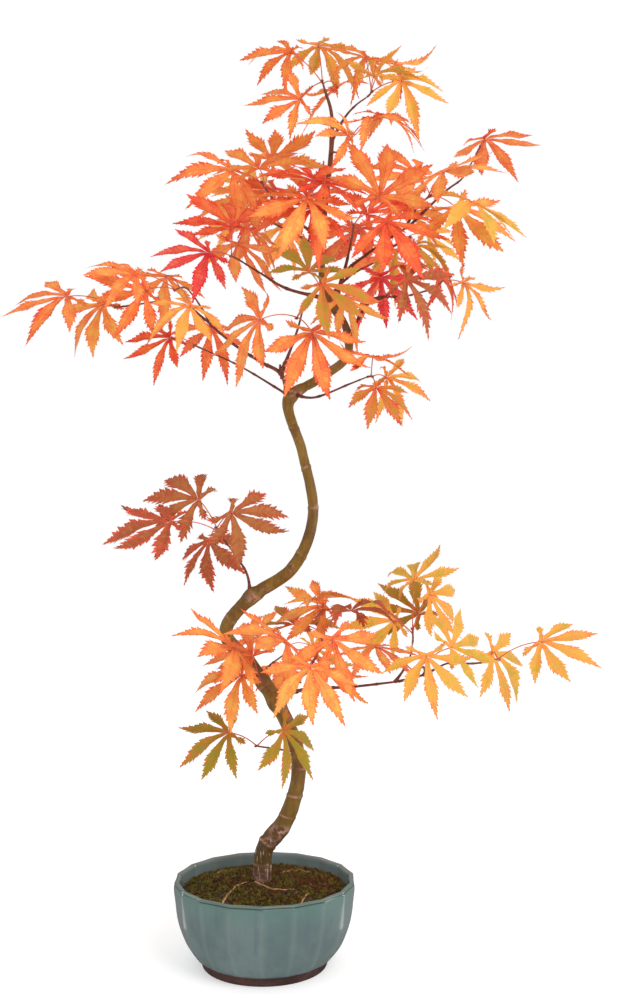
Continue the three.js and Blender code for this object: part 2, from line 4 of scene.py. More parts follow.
import bpy
import numpy as np
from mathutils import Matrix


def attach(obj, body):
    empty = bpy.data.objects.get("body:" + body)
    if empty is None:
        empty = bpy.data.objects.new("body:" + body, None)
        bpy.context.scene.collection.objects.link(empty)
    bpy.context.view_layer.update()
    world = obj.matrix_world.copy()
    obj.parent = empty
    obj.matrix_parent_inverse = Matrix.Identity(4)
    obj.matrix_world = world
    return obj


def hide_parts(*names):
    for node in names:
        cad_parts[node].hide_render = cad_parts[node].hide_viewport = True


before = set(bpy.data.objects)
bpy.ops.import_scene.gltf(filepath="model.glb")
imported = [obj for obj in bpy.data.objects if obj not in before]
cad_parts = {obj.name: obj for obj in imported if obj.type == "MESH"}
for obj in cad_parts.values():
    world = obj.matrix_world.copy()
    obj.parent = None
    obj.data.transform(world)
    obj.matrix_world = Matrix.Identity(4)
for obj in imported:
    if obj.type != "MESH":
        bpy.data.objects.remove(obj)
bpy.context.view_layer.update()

bl_info = {
    "name": "Potted Maple",
    "version": (1, 0, 0),
    "blender": (4, 5, 0),
    "location": "3D View > Sidebar > Potted Maple",
    "description": "Bark, leaves, glaze and moss for a small potted maple",
    "category": "Add Mesh",
}

MM = 0.001
TURN = 6.28  # a whole turn in radians, near enough for what is dealt at random

# -------- the plant's named sizes, in millimetres
# Trunk: its bends from the soil to the tip, each x, y, z, radius.
TRUNK = [
    (-2.4, 0, 70, 8.2), (0.3, 0, 97, 7.3), (17, -2, 120.5, 7.3), (27.5, -4, 152, 6.2), (27, 0, 182, 6.1),
    (12, 6, 216, 6.2), (-13, 12, 252, 6), (-34, 12, 279, 5.8), (-13, 6, 309, 5.6), (24, -4, 336, 5.2),
    (41, -8, 380, 4.4), (32, -3, 433, 4.1), (20, 2, 476, 4.3), (45, 5, 496, 4), (69, 3, 514, 3.6),
    (69, -2, 539, 3.2), (50, -3, 573, 3), (50, 3, 628, 2.6), (56, 5, 685, 2.1), (57, 3, 720, 1.5),
    (51, 0, 742, 1.2),
]

# Boughs and twigs: name, the limb it leaves, how far along that, the places it passes, radius at both ends.
LIMBS = [
    ("rust_twig", "trunk", 0.254, [(25, -12, 238), (38, -14, 252), (47, -8, 268)], 2.0, 1.2),
    ("right_low_bough", "trunk", 0.258, [(35, 14, 230), (73, 26, 230), (115, 18, 236)], 2.4, 1.6),
    ("right_low_end", "right_low_bough", 1, [(136, 10, 243), (155, 0, 254), (170, -8, 255)], 1.5, 1.1),
    ("right_low_twig", "right_low_bough", 0.976, [(120, 26, 245), (126, 30, 256), (128, 30, 267)], 1.3, 1.0),
    ("right_low_spur", "right_low_end", 0.336, [(135, -8, 248), (133, -26, 254)], 1.2, 1.0),
    ("left_mid_twig", "trunk", 0.401, [(-15, 2, 329), (-24, -2, 345), (-34, -6, 359)], 1.6, 1.1),
    ("left_long_bough", "trunk", 0.603, [(14, 2, 500), (-4, 4, 511), (-28, 6, 527), (-51, 6, 547)], 2.6, 1.6),
    ("left_long_end", "left_long_bough", 1, [(-67, 2, 558), (-88, -4, 561), (-113, -8, 557)], 1.6, 1.1),
    ("left_middle_twig", "left_long_bough", 0.943, [(-55, -14, 558), (-62, -24, 567)], 1.2, 1.0),
    ("left_thin_bough", "trunk", 0.608, [(9, 16, 490), (-23, 28, 510), (-51, 28, 523)], 1.6, 1.0),
    ("fork_front_twig", "left_long_bough", 0.256, [(22, -8, 520), (28, -20, 535), (32, -30, 548)], 1.9, 1.2),
    ("right_thin_twig", "trunk", 0.613, [(43, -16, 479), (72, -20, 490), (85, -22, 495)], 1.5, 1.0),
    ("crown_left_bough", "trunk", 0.788, [(19, 14, 575), (-3, 10, 587), (-19, 4, 596)], 2.0, 1.2),
    ("crown_upper_left_bough", "trunk", 0.838, [(30, 18, 632), (13, 18, 644), (6, 10, 652)], 1.7, 1.1),
    ("crown_right_bough", "trunk", 0.773, [(67, 6, 585), (91, 12, 607), (125, 14, 630)], 2.4, 1.5),
    ("crown_right_end", "crown_right_bough", 1, [(154, 14, 658), (169, 10, 669), (177, 6, 682)], 1.5, 1.0),
    ("crown_right_twig", "crown_right_bough", 0.957, [(127, 2, 638), (132, -8, 643)], 1.2, 1.0),
    ("crown_right_low_twig", "crown_right_bough", 0.789, [(109, -8, 607), (113, -22, 608)], 1.2, 1.0),
    ("crown_second_limb", "crown_right_bough", 0.332, [(71, -6, 601), (73, -18, 610)], 1.6, 1.1),
    ("right_lower_bough", "trunk", 0.736, [(90, -16, 560), (117, -18, 563), (139, -16, 569)], 1.9, 1.1),
    ("crimson_twig", "right_lower_bough", 0.326, [(97, -30, 559), (103, -42, 561)], 1.1, 0.95),
    ("top_right_shoot", "trunk", 0.919, [(68, -4, 717), (77, -8, 726), (86, -10, 732)], 1.4, 1.0),
    ("back_left_bough", "trunk", 0.831, [(29, 50, 628), (9, 84, 645)], 1.9, 1.2),
    ("back_right_bough", "trunk", 0.789, [(74, 46, 592), (99, 84, 612)], 2.0, 1.2),
    ("low_back_twig", "trunk", 0.278, [(1, 48, 244), (13, 74, 251)], 1.9, 1.2),
]

# Masses of foliage: name, limb, how far along it, crest of the stem, heading of the fan, rise and droop in
# degrees, leaf length, a seed for each leaf and a letter of TINTS for each leaf.
MASSES = [
    ("low_left_spray", "trunk", 0.195, (-5, -36, 191), 210, 25, 40, 50, (4328, 7708), "ll"),
    ("orange_left", "trunk", 0.266, (-4, -40, 249), 180, 35, 35, 54, (9680, 3945, 9051), "ooo"),
    ("orange_right", "trunk", 0.256, (30, -60, 247), 330, 35, 45, 54, (9600, 565, 4446, 8346), "oooo"),
    ("rust_fan", "rust_twig", 1, (45, -2, 286), 240, 60, 30, 50, (4405, 8266, 554, 9276), "orlo"),
    ("gold_upright", "right_low_twig", 1, (128, 30, 279), 90, 70, 10, 46, (9596, 6109, 8891, 952), "gglg"),
    ("gold_middle", "right_low_spur", 1, (123, -44, 253), 60, 30, 40, 50, (7426, 5392, 406), "ogg"),
    ("gold_end", "right_low_end", 1, (196, -12, 259), 10, 20, 30, 56, (1325, 4394), "gg"),
    ("rust_left", "left_mid_twig", 1, (-40, -12, 369), 200, 30, 30, 54, (9900, 3582, 6060, 8868), "rrrr"),
    ("left_end", "left_long_end", 1, (-124, -14, 555), 190, 10, 30, 57, (1145, 4411), "oo"),
    ("left_middle", "left_middle_twig", 1, (-72, -34, 566), 190, 10, 30, 50, (2071, 8584, 2996, 887), "oogo"),
    ("left_lower", "left_thin_bough", 1, (-61, 24, 527), 180, 15, 35, 48, (7284, 5238), "ee"),
    ("fork_front", "fork_front_twig", 1, (28, -48, 541), 250, 5, 55, 60, (3221, 9780), "oo"),
    ("crown_low", "trunk", 0.793, (47, -30, 569), 270, 20, 20, 46, (1329, 6723, 6660), "llo"),
    ("right_small", "right_thin_twig", 1, (90, -28, 495), 330, 0, 45, 44, (2596, 6789, 9599), "lgo"),
    ("crown_left", "crown_left_bough", 1, (-28, -6, 599), 180, 20, 20, 54, (8996, 4345, 1394, 7403), "ceoo"),
    ("crown_upper_left", "crown_upper_left_bough", 1, (-2, 0, 662), 180, 40, 20, 54,
     (6168, 3991, 6916, 7606, 4583), "oeooo"),
    ("crown_centre", "trunk", 0.844, (40, -44, 626), 270, 40, 25, 54, (6473, 285, 8484, 3680), "eeoe"),
    ("crown_right_centre", "crown_second_limb", 1, (74, -40, 617), 60, 35, 10, 56,
     (5953, 4283, 5635, 429), "oeee"),
    ("crown_right", "crown_right_twig", 1, (139, -18, 647), 20, 20, 30, 56, (5873, 3470, 2750, 5726), "oogo"),
    ("right_high", "crown_right_end", 1, (183, 2, 693), 45, 20, 45, 52, (6143,), "o"),
    ("crown_right_low", "crown_right_low_twig", 1, (120, -26, 610), 0, 0, 50, 44, (4674, 1443), "gg"),
    ("crimson_right", "crimson_twig", 1, (105, -50, 563), 20, 10, 45, 48, (141, 8175), "cr"),
    ("right_tip", "right_lower_bough", 1, (149, -16, 576), 10, 5, 45, 44, (6967, 5048), "eg"),
    ("top_left", "trunk", 1, (49, -4, 747), 170, 35, 25, 48, (3893, 8557, 8717, 5545), "gooo"),
    ("top_right", "top_right_shoot", 1, (90, -14, 735), 50, 40, 25, 46, (429, 6842, 7505, 5965), "gogo"),
    ("top_middle", "trunk", 0.906, (65, -22, 682), 330, 50, 30, 46, (1170, 4254, 7215), "ooo"),
    ("back_left", "back_left_bough", 1, (-7, 112, 661), 110, 20, 30, 52, (3724, 5372, 9350, 2642), "ooge"),
    ("back_right", "back_right_bough", 1, (116, 112, 632), 60, 20, 30, 52, (1325, 1817, 9753, 8980), "gooe"),
    ("low_back", "low_back_twig", 1, (18, 100, 257), 90, 20, 30, 48, (2201, 8252, 3138), "ogo"),
]
TINTS = {"o": "orange", "e": "ember", "c": "crimson", "g": "gold", "l": "olive", "r": "rust"}

# Leaf: lobes as angle from the middle lobe in degrees, length and half width, in leaf lengths.
LOBES = [
    (-122, 0.4, 0.055), (-77, 0.78, 0.108), (-38, 0.95, 0.13), (0, 1, 0.134),
    (38, 0.95, 0.13), (77, 0.78, 0.108), (122, 0.4, 0.055),
]
NOTCH = 0.13  # from the stalk to the notch between two lobes
HEEL = 0.05  # from the stalk to the blade's back edge
SAG = 0.16  # how far the blade falls away from its stalk
LIGHT = np.array((0.1, -0.8, 0.6)) / math.hypot(0.1, 0.8, 0.6)  # leaves turn a little to this side
LIGHT_PULL = 0.9
STALK_ARCH = 0.18
PAIR_STEP = 0.25  # from one pair of leaves to the next, as a share of the stem
CROWN_FOOT = 450  # over this height the small leaves are young, slender and curled
STEM_MARKS = 9
STALK_MARKS = 7
# How a leaf varies round what its mass asks for, in degrees and as a share of its length.
VARY = {"fan": 110, "rise": 50, "swing": 80, "droop": 55, "roll": 40, "size": 0.1}
STALK_SHORT, STALK_MORE = 12, 36
SMALL_LEAF, GROWN_LEAF = 44, 52  # lengths of a fully slender crown leaf and of one that is as broad as any

# Pot: panels, and the outside of its wall as radius and height.
PANELS = 18
FOOT = [(0, 0.4), (49, 0.4), (50, 0), (52.4, 0), (53, 0.6), (54.8, 6), (55.3, 7.2)]
WALL = [(55.9, 7.6), (58.2, 8.6), (61, 11.2), (64.2, 15.4), (67.4, 20.6), (70.2, 27), (72.6, 33.6),
        (74.4, 40), (75.8, 48), (76.6, 56), (77.1, 62.6), (77.2, 67), (77.1, 69.2), (76.5, 70.1)]
LIP = [(76.8, 70.6), (76.9, 71.1), (76.6, 71.8), (75.8, 72.2), (74.4, 72.2), (73.2, 71.6), (72.7, 70.6)]
INSIDE = [(72.4, 69), (72.2, 66), (71.8, 62), (70.8, 56), (69, 45)]


# -------- growth, by the source's rule
def catmull(rows, t):
    """Points on the smooth curve through rows, at the shares t of its length in rows."""
    rows = np.asarray(rows, float)[:, :3]
    last = len(rows) - 1
    t = np.atleast_1d(np.asarray(t, float)) * last
    i = np.minimum(t.astype(int), last - 1)
    w = (t - i)[:, None]
    wide = np.vstack([2 * rows[0] - rows[1], rows, 2 * rows[-1] - rows[-2]])
    a, b, c, d = wide[i], wide[i + 1], wide[i + 2], wide[i + 3]
    into, out = 0.5 * (c - a), 0.5 * (d - b)
    return b + into * w + (-3 * b + 3 * c - 2 * into - out) * w ** 2 + (2 * b - 2 * c + into + out) * w ** 3


def unit(v):
    return v / np.linalg.norm(v)


COUNTER_TOP = 2147483647
SKIPPED = 3  # the counter's first numbers are too alike


def draws_of(seed, count):
    """Numbers from 0 to 1 by the source's counter."""
    state = (seed * 9973 + 4241) % COUNTER_TOP
    drawn = []
    for _ in range(count + SKIPPED):
        state = (state * 48271) % COUNTER_TOP
        drawn.append(state / COUNTER_TOP)
    return drawn[SKIPPED:]


def bowed_row(start, control, end, count):
    """Points on a bow from start to end that leans towards control."""
    t = np.linspace(0, 1, count)[:, None]
    return (1 - t) ** 2 * start + 2 * t * (1 - t) * control + t ** 2 * end


def limb_rows():
    """Each limb's rows of points, with its radius at both ends."""
    rows = {"trunk": (np.array(TRUNK, float)[:, :3], None)}
    for name, parent, at, way, base, tip in LIMBS:
        start = catmull(rows[parent][0], at)[0]
        rows[name] = (np.vstack([start, np.array(way, float)]), (base, tip))
    return rows


LIMB_ROWS = limb_rows()


def heading(name):
    """The direction in which a limb ends."""
    rows = LIMB_ROWS[name][0]
    return unit(catmull(rows, 1)[0] - catmull(rows, 0.97)[0])


def stem_of(mass):
    """A mass's stem, which carries on from its limb to its crest."""
    _, limb, at, crest = mass[:4]
    crest = np.array(crest, float)
    foot = catmull(LIMB_ROWS[limb][0], at)[0]
    if at == 1:
        ahead = heading(limb)
        foot = foot + 0.3 * ahead
    else:
        ahead = unit(crest - foot)
    control = foot + 0.45 * np.linalg.norm(crest - foot) * ahead
    return bowed_row(foot, control, crest, STEM_MARKS)


def leaf_pose(mass, stem, index):
    """One leaf's stalk and the frame of its blade, from its seed."""
    fan, rise, droop, length, seeds = mass[4:9]
    drawn = draws_of(seeds[index], 7)

    def vary(i, name):
        return (drawn[i] * 2 - 1) * VARY[name]

    place = (1 - PAIR_STEP * (index // 2)) * (STEM_MARKS - 1)
    mark = min(int(place), STEM_MARKS - 2)
    node = stem[mark] + (stem[mark + 1] - stem[mark]) * (place - mark)
    turn = math.radians(fan + vary(0, "fan"))
    lift = math.radians(rise + vary(1, "rise"))
    stalk = STALK_SHORT + STALK_MORE * drawn[2]
    blade = turn + math.radians(vary(3, "swing"))
    dip = math.radians(droop + vary(4, "droop"))
    roll = math.radians(vary(5, "roll"))
    size = length * (1 - VARY["size"] + 2 * VARY["size"] * drawn[6])
    out = np.array((math.cos(lift) * math.cos(turn), math.cos(lift) * math.sin(turn), math.sin(lift)))
    hub = node + stalk * out
    along = np.array((math.cos(dip) * math.cos(blade), math.cos(dip) * math.sin(blade), -math.sin(dip)))
    face = np.array((math.sin(dip) * math.cos(blade), math.sin(dip) * math.sin(blade), math.cos(dip)))
    face = face + LIGHT_PULL * LIGHT
    face = unit(face - np.dot(face, along) * along)
    up = face * math.cos(roll) + np.cross(face, along) * math.sin(roll)
    control = (node + hub) / 2 + np.array((0, 0, STALK_ARCH * stalk))
    return {
        "hub": hub, "along": along, "side": np.cross(up, along), "up": up, "size": size,
        "stalk": bowed_row(node, control, hub, STALK_MARKS), "seed": seeds[index],
    }


# -------- mesh tools
def add_object(name, data):
    thing = bpy.data.objects.new(name, data)
    bpy.context.scene.collection.objects.link(thing)
    return thing


def new_mesh(name, points, faces, materials=(), kinds=None):
    """An object from points in millimetres, each face with its material's number."""
    mesh = bpy.data.meshes.new(name)
    points = np.asarray(points, np.float32) * MM
    faces = np.asarray(faces, np.int32)
    size = faces.shape[1]
    mesh.vertices.add(len(points))
    mesh.vertices.foreach_set("co", points.ravel())
    mesh.loops.add(faces.size)
    mesh.loops.foreach_set("vertex_index", faces.ravel())
    mesh.polygons.add(len(faces))
    mesh.polygons.foreach_set("loop_start", np.arange(0, faces.size, size, dtype=np.int32))
    mesh.polygons.foreach_set("loop_total", np.full(len(faces), size, np.int32))
    mesh.polygons.foreach_set("use_smooth", np.full(len(faces), True))
    for material in materials:
        mesh.materials.append(material)
    if kinds is not None:
        mesh.polygons.foreach_set("material_index", np.asarray(kinds, np.int32))
    mesh.update(calc_edges=True)
    mesh.validate()
    return add_object(name, mesh)


def give_values(thing, given):
    """A number from 0 to 1 at each point, which the materials and the moss read by its name."""
    for name, values in given.items():
        layer = thing.data.attributes.new(name, "FLOAT", "POINT")
        layer.data.foreach_set("value", np.clip(values, 0, 1).astype(np.float32))


def grid_faces(rows, columns, first=0, closed=False):
    """Quads over a grid of points, row by row."""
    around = columns if closed else columns - 1
    i, j = np.meshgrid(np.arange(rows - 1), np.arange(around), indexing="ij")
    a = first + i * columns + j
    b = first + i * columns + (j + 1) % columns
    return np.stack([a, b, b + columns, a + columns], -1).reshape(-1, 4)


def frames_along(points):
    """Two directions across a path at each of its points, carried along without twist."""
    ahead = np.gradient(points, axis=0)
    ahead /= np.linalg.norm(ahead, axis=1)[:, None]
    u = np.cross(ahead[0], (0, 1, 0) if abs(ahead[0][1]) < 0.8 else (1, 0, 0))
    across = []
    for step in ahead:
        u = unit(u - np.dot(u, step) * step)
        across.append(u)
    across = np.array(across)
    return across, np.cross(ahead, across)


def ride(thing, slot, *nodes):
    """Puts a piece on the plant's one body and hides the nodes that it replaces; its slot, the finish, is not
    used.
    """
    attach(thing, "root")
    if nodes:
        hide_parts(*nodes)


# -------- nodes
class Value:
    """A socket that makes Math nodes when it is added, multiplied or taken away."""

    def __init__(self, graph, socket):
        self.graph = graph
        self.socket = socket

    def _math(self, operation, first, second):
        return self.graph.value("ShaderNodeMath", {"operation": operation}, {0: first, 1: second})

    def __add__(self, other):
        return self._math("ADD", self, other)

    __radd__ = __add__

    def __mul__(self, other):
        return self._math("MULTIPLY", self, other)

    __rmul__ = __mul__

    def __sub__(self, other):
        return self._math("SUBTRACT", self, other)

    def __rsub__(self, other):
        return self._math("SUBTRACT", other, self)

    def step(self, low, high):
        """Smoothly from 0 at low to 1 at high."""
        inputs = {0: self, 1: low, 2: high, 3: 0.0, 4: 1.0}
        return self.graph.value("ShaderNodeMapRange", {"interpolation_type": "SMOOTHSTEP"}, inputs)


class Nodes:
    """A tree of nodes, where node() makes any of them."""

    def node(self, kind, settings, inputs):
        """Makes a node, sets it up and then feeds its sockets, each by identifier, name or place."""
        made = self.tree.nodes.new(kind)
        for key, value in settings.items():
            setattr(made, key, value)
        named = {socket.identifier: socket for socket in made.inputs}
        for key, value in inputs.items():
            self.feed(named[key] if key in named else made.inputs[key], value)
        return made

    def feed(self, socket, value):
        source = value.socket if isinstance(value, Value) else value
        if isinstance(source, bpy.types.NodeSocket):
            self.tree.links.new(source, socket)
        else:
            socket.default_value = source


class Graph(Nodes):
    """A material's tree, with the nodes that the plant's finishes share."""

    def __init__(self, name):
        self.material = bpy.data.materials.new(name)
        self.material.use_nodes = True
        self.tree = self.material.node_tree
        self.tree.nodes.clear()
        self.shader = self.node("ShaderNodeBsdfPrincipled", {}, {})
        self.output = self.node("ShaderNodeOutputMaterial", {}, {})
        self.tree.links.new(self.shader.outputs[0], self.output.inputs[0])

    def value(self, kind, settings, inputs, output=0):
        return Value(self, self.node(kind, settings, inputs).outputs[output])

    def place(self):
        return self.value("ShaderNodeTexCoord", {}, {}, "Object")

    def stretched(self, scale):
        """Places for a pattern that is finer one way than another."""
        return self.value("ShaderNodeMapping", {}, {"Vector": self.place(), "Scale": scale})

    def noise(self, scale, detail, where=None, roughness=0.55):
        inputs = {"Vector": where or self.place(), "Scale": scale, "Detail": detail, "Roughness": roughness}
        return self.value("ShaderNodeTexNoise", {}, inputs)

    def cells(self, scale, feature="F1"):
        inputs = {"Vector": self.place(), "Scale": scale}
        return self.value("ShaderNodeTexVoronoi", {"feature": feature}, inputs, "Distance")

    def given(self, name):
        """The number that the mesh holds at each point under this name."""
        return self.value("ShaderNodeAttribute", {"attribute_name": name}, {}, "Fac")

    def mix(self, factor, first, second):
        return self.value("ShaderNodeMix", {"data_type": "RGBA"}, {0: factor, 6: first, 7: second}, 2)

    def bump(self, height, distance, strength):
        inputs = {"Height": height, "Distance": distance, "Strength": strength}
        return self.value("ShaderNodeBump", {}, inputs)

    def finish(self, **inputs):
        """Sets the shader's sockets, named with _ for a space, and gives the material."""
        for key, value in inputs.items():
            self.feed(self.shader.inputs[key.replace("_", " ")], value)
        return self.material


def linear(rgb, gain=1.0):
    """A colour from 0 to 255 as seen, as the shader's numbers."""
    seen = [min(c * gain / 255, 1) for c in rgb]
    return (*[c / 12.92 if c <= 0.04045 else ((c + 0.055) / 1.055) ** 2.4 for c in seen], 1.0)


# -------- geometry nodes
class Growth(Nodes):
    """A Geometry Nodes tree that is built up, run on one object and baked into a mesh."""

    def __init__(self, name):
        self.tree = bpy.data.node_groups.new(name, "GeometryNodeTree")
        self.tree.interface.new_socket("Geometry", in_out="OUTPUT", socket_type="NodeSocketGeometry")
        self.tree.interface.new_socket("Geometry", in_out="INPUT", socket_type="NodeSocketGeometry")
        self.start = self.tree.nodes.new("NodeGroupInput")
        self.given = {}

    def asks(self, name, kind, value):
        """A named input of the tree, with the value that it is run with."""
        item = self.tree.interface.new_socket(name, in_out="INPUT", socket_type=kind)
        self.given[item.identifier] = value
        return self.start.outputs[name]

    def part(self, kind, settings, inputs, output=0):
        return self.node(kind, settings, inputs).outputs[output]

    def bake(self, source, name, shape, material):
        """Realizes shape, gives it the material and returns the finished mesh object."""
        real = self.part("GeometryNodeRealizeInstances", {}, {"Geometry": shape})
        smooth = self.part("GeometryNodeSetShadeSmooth", {}, {"Geometry": real})
        paint = self.asks("Material", "NodeSocketMaterial", material)
        painted = self.part("GeometryNodeSetMaterial", {}, {"Geometry": smooth, "Material": paint})
        self.node("NodeGroupOutput", {}, {0: painted})
        modifier = source.modifiers.new("growth", "NODES")
        modifier.node_group = self.tree
        for key, value in self.given.items():
            modifier[key] = value
        bpy.context.view_layer.update()
        depsgraph = bpy.context.evaluated_depsgraph_get()
        mesh = bpy.data.meshes.new_from_object(source.evaluated_get(depsgraph), depsgraph=depsgraph)
        mesh.name = name
        source.modifiers.remove(modifier)
        return add_object(name, mesh)


def tubes(name, paths, material, sides):
    """Round tubes along paths, each a row of points and its radii in millimetres, as one mesh."""
    curve = bpy.data.curves.new(name + "_paths", "CURVE")
    curve.dimensions = "3D"
    for points, radii in paths:
        spline = curve.splines.new("POLY")
        spline.points.add(len(points) - 1)
        rows = np.hstack([np.asarray(points) * MM, np.ones((len(points), 1))])
        spline.points.foreach_set("co", rows.astype(np.float32).ravel())
        spline.points.foreach_set("radius", (np.asarray(radii) * MM).astype(np.float32))
    source = add_object(name + "_paths", curve)
    grow = Growth(name)
    count = grow.asks("Sides", "NodeSocketInt", sides)
    ring = grow.part("GeometryNodeCurvePrimitiveCircle", {}, {"Resolution": count, "Radius": 1.0})
    girth = grow.part("GeometryNodeInputRadius", {}, {})
    inputs = {"Curve": grow.start.outputs[0], "Profile Curve": ring, "Scale": girth, "Fill Caps": True}
    made = grow.bake(source, name, grow.part("GeometryNodeCurveToMesh", {}, inputs), material)
    bpy.data.objects.remove(source)
    return made


def scatter(name, ground, shapes, material, density, sizes, seed, apart):
    """Shapes strewn over the ground's upper faces, turned and sized at random, as one mesh."""
    stock = bpy.data.collections.new(name + "_stock")
    for shape in shapes:
        bpy.context.scene.collection.objects.unlink(shape)
        stock.objects.link(shape)
    grow = Growth(name)
    amount = grow.asks("Density", "NodeSocketFloat", density)
    spacing = grow.asks("Spacing", "NodeSocketFloat", apart)
    number = grow.asks("Seed", "NodeSocketInt", seed)
    cover = grow.part("GeometryNodeInputNamedAttribute", {"data_type": "FLOAT"}, {"Name": name})
    spots = grow.part("GeometryNodeDistributePointsOnFaces", {"distribute_method": "POISSON"}, {
        "Mesh": grow.start.outputs[0], "Distance Min": spacing, "Density Max": amount,
        "Density Factor": cover, "Seed": number})
    picked = grow.part("GeometryNodeCollectionInfo", {}, {
        "Collection": stock, "Separate Children": True, "Reset Children": True})
    turn = grow.part("FunctionNodeRandomValue", {"data_type": "FLOAT_VECTOR"}, {
        "Min": (-0.5, -0.5, 0), "Max": (0.5, 0.5, TURN), "Seed": number})
    size = grow.part("FunctionNodeRandomValue", {"data_type": "FLOAT"}, {
        "Min_001": sizes[0], "Max_001": sizes[1], "Seed": number}, 1)
    strewn = grow.part("GeometryNodeInstanceOnPoints", {}, {
        "Points": spots, "Instance": picked, "Pick Instance": True, "Rotation": turn, "Scale": size})
    made = grow.bake(ground, name, strewn, material)
    for shape in shapes:
        bpy.data.objects.remove(shape)
    bpy.data.collections.remove(stock)
    return made


# -------- materials
def bark_material(olive, brown):
    """Bark in two greens and browns, darker at the foot, with pale scars and rings and red young wood."""
    g = Graph("bark")
    broad = g.noise(34, 4.0)
    fine = g.noise(300, 5.0, roughness=0.65)
    streak = g.noise(1.0, 4.0, g.stretched((520.0, 520.0, 40.0)))
    base = g.mix(broad.step(0.42, 0.68), linear(olive), linear(brown))
    base = g.mix(streak.step(0.42, 0.72) * 0.5, base, linear(brown, 0.8))
    base = g.mix(g.noise(75, 4.0).step(0.5, 0.7) * 0.4, base, linear((156, 124, 62)))
    # darker colours towards the foot, from 150 mm down
    darker_foot = g.mix(fine.step(0.35, 0.65), linear((80, 60, 20)), linear((66, 46, 22)))
    base = g.mix(g.given("low") * 0.75, base, darker_foot)
    dashes = g.noise(1.0, 2.0, g.stretched((700.0, 700.0, 70.0))).step(0.6, 0.66)
    base = g.mix(g.given("streaked") * dashes, base, linear((206, 182, 166)))
    crust = (fine * 0.55 + g.noise(130, 4.0) * 0.45).step(0.42, 0.56)
    rind = g.mix(crust, linear((96, 58, 50)), linear((198, 150, 136)))
    # the scars' rind is darker below about 100 mm
    rind = g.mix(g.given("streaked") * 0.55, rind, linear((86, 52, 50)))
    base = g.mix(g.given("scar") * (0.55 + crust * 0.45), base, rind)
    base = g.mix(g.given("ring") * (0.5 + crust * 0.5), base, linear((186, 138, 116)))
    fresh = g.mix(fine.step(0.3, 0.7), linear((98, 44, 36)), linear((130, 66, 48)))
    base = g.mix(g.given("young"), base, fresh)
    rough = 0.46 + fine * 0.22 + g.given("scar") * 0.25
    height = fine * 0.4 + streak * 0.4 + g.given("scar") * crust * 1.2
    return g.finish(Base_Color=base, Roughness=rough, Normal=g.bump(height, 0.0007, 0.7),
                    Specular_IOR_Level=0.25)


def twig_material():
    """The reddish bark of this year's stems and buds."""
    g = Graph("twig")
    fine = g.noise(420, 4.0)
    base = g.mix(fine.step(0.3, 0.7), linear((112, 52, 42)), linear((150, 84, 58)))
    return g.finish(Base_Color=base, Roughness=0.45 + fine * 0.3, Normal=g.bump(fine, 0.0003, 0.5))


def stalk_material():
    """The smooth red of a leaf's stalk."""
    g = Graph("stalk")
    fine = g.noise(260, 3.0)
    base = g.mix(fine.step(0.35, 0.65), linear((196, 84, 66)), linear((216, 116, 80)))
    return g.finish(Base_Color=base, Roughness=0.4 + fine * 0.2, Normal=g.bump(fine, 0.0002, 0.4))


# Colours of each tint, from 0 to 255, from where it is still yellow or green to where it is reddest.
LEAF_COLOURS = {
    "orange": ((240, 172, 82), (242, 152, 76), (240, 131, 69), (234, 111, 61), (220, 85, 55), (166, 52, 46)),
    "ember": ((240, 144, 76), (238, 119, 64), (235, 97, 58), (228, 75, 53), (206, 57, 49), (150, 40, 42)),
    "crimson": ((236, 110, 80), (234, 82, 72), (231, 63, 66), (222, 46, 58), (196, 35, 52), (134, 30, 42)),
    "gold": ((206, 166, 62), (226, 170, 70), (238, 165, 77), (240, 149, 74), (232, 124, 65), (190, 82, 50)),
    "olive": ((158, 138, 40), (175, 137, 45), (197, 128, 52), (214, 112, 58), (216, 86, 55), (146, 54, 41)),
    "rust": ((180, 112, 62), (176, 97, 57), (177, 84, 55), (200, 86, 56), (222, 96, 60), (142, 50, 43)),
}


def leaf_materials(tint):
    """The six paints of one tint, each one plain base colour with a veined surface."""
    made = []
    for number, colour in enumerate(LEAF_COLOURS[tint]):
        g = Graph(f"leaf_{tint}_{number}")
        veinlets = g.cells(620, "DISTANCE_TO_EDGE").step(0.0, 0.12)
        fine = g.noise(900, 3.0)
        height = veinlets * 0.6 + fine * 0.4
        rough = 0.56 + fine * 0.2
        made.append(g.finish(Base_Color=linear(colour), Roughness=rough, Normal=g.bump(height, 0.0003, 0.5),
                             Specular_IOR_Level=0.18))
    return made


def glaze_material(colour, deep):
    """A glossy glaze that pools, runs and breaks paler on the ridges, with painted light that makes the
    bowl's inside paler.
    """
    g = Graph("glaze")
    cloud = g.noise(18, 4.0)
    speck = g.cells(420)
    runs = g.noise(1.0, 4.0, g.stretched((190.0, 190.0, 14.0)))
    base = g.mix(cloud.step(0.38, 0.66), linear(colour), linear(deep))
    base = g.mix(runs.step(0.5, 0.68) * 0.5, base, linear((86, 100, 110)))
    base = g.mix(g.given("high") * 0.5, base, linear((84, 120, 108)))
    # painted light: the bowl's inside is painted paler, standing in for light that its walls keep out
    base = g.mix(g.given("inside_painted_light") * 0.4, base, linear((140, 156, 154)))
    base = g.mix((1 - speck.step(0.05, 0.14)) * 0.25, base, linear((60, 72, 66)))
    base = g.mix(g.given("ridge") * 0.16, base, linear((144, 152, 146)))
    base = g.mix(g.given("edge") * (0.3 + cloud * 0.5), base, linear((150, 118, 100)))
    base = g.mix(g.given("groove") * 0.85, base, linear((50, 36, 30)))
    rough = 0.17 + cloud * 0.12 + g.given("edge") * 0.15
    height = g.noise(60, 3.0) * 0.8 + g.noise(400, 2.0) * 0.04
    return g.finish(Base_Color=base, Roughness=rough, Coat_Weight=0.5, Coat_Roughness=0.08,
                    Normal=g.bump(height, 0.0012, 0.3), Specular_IOR_Level=0.45)


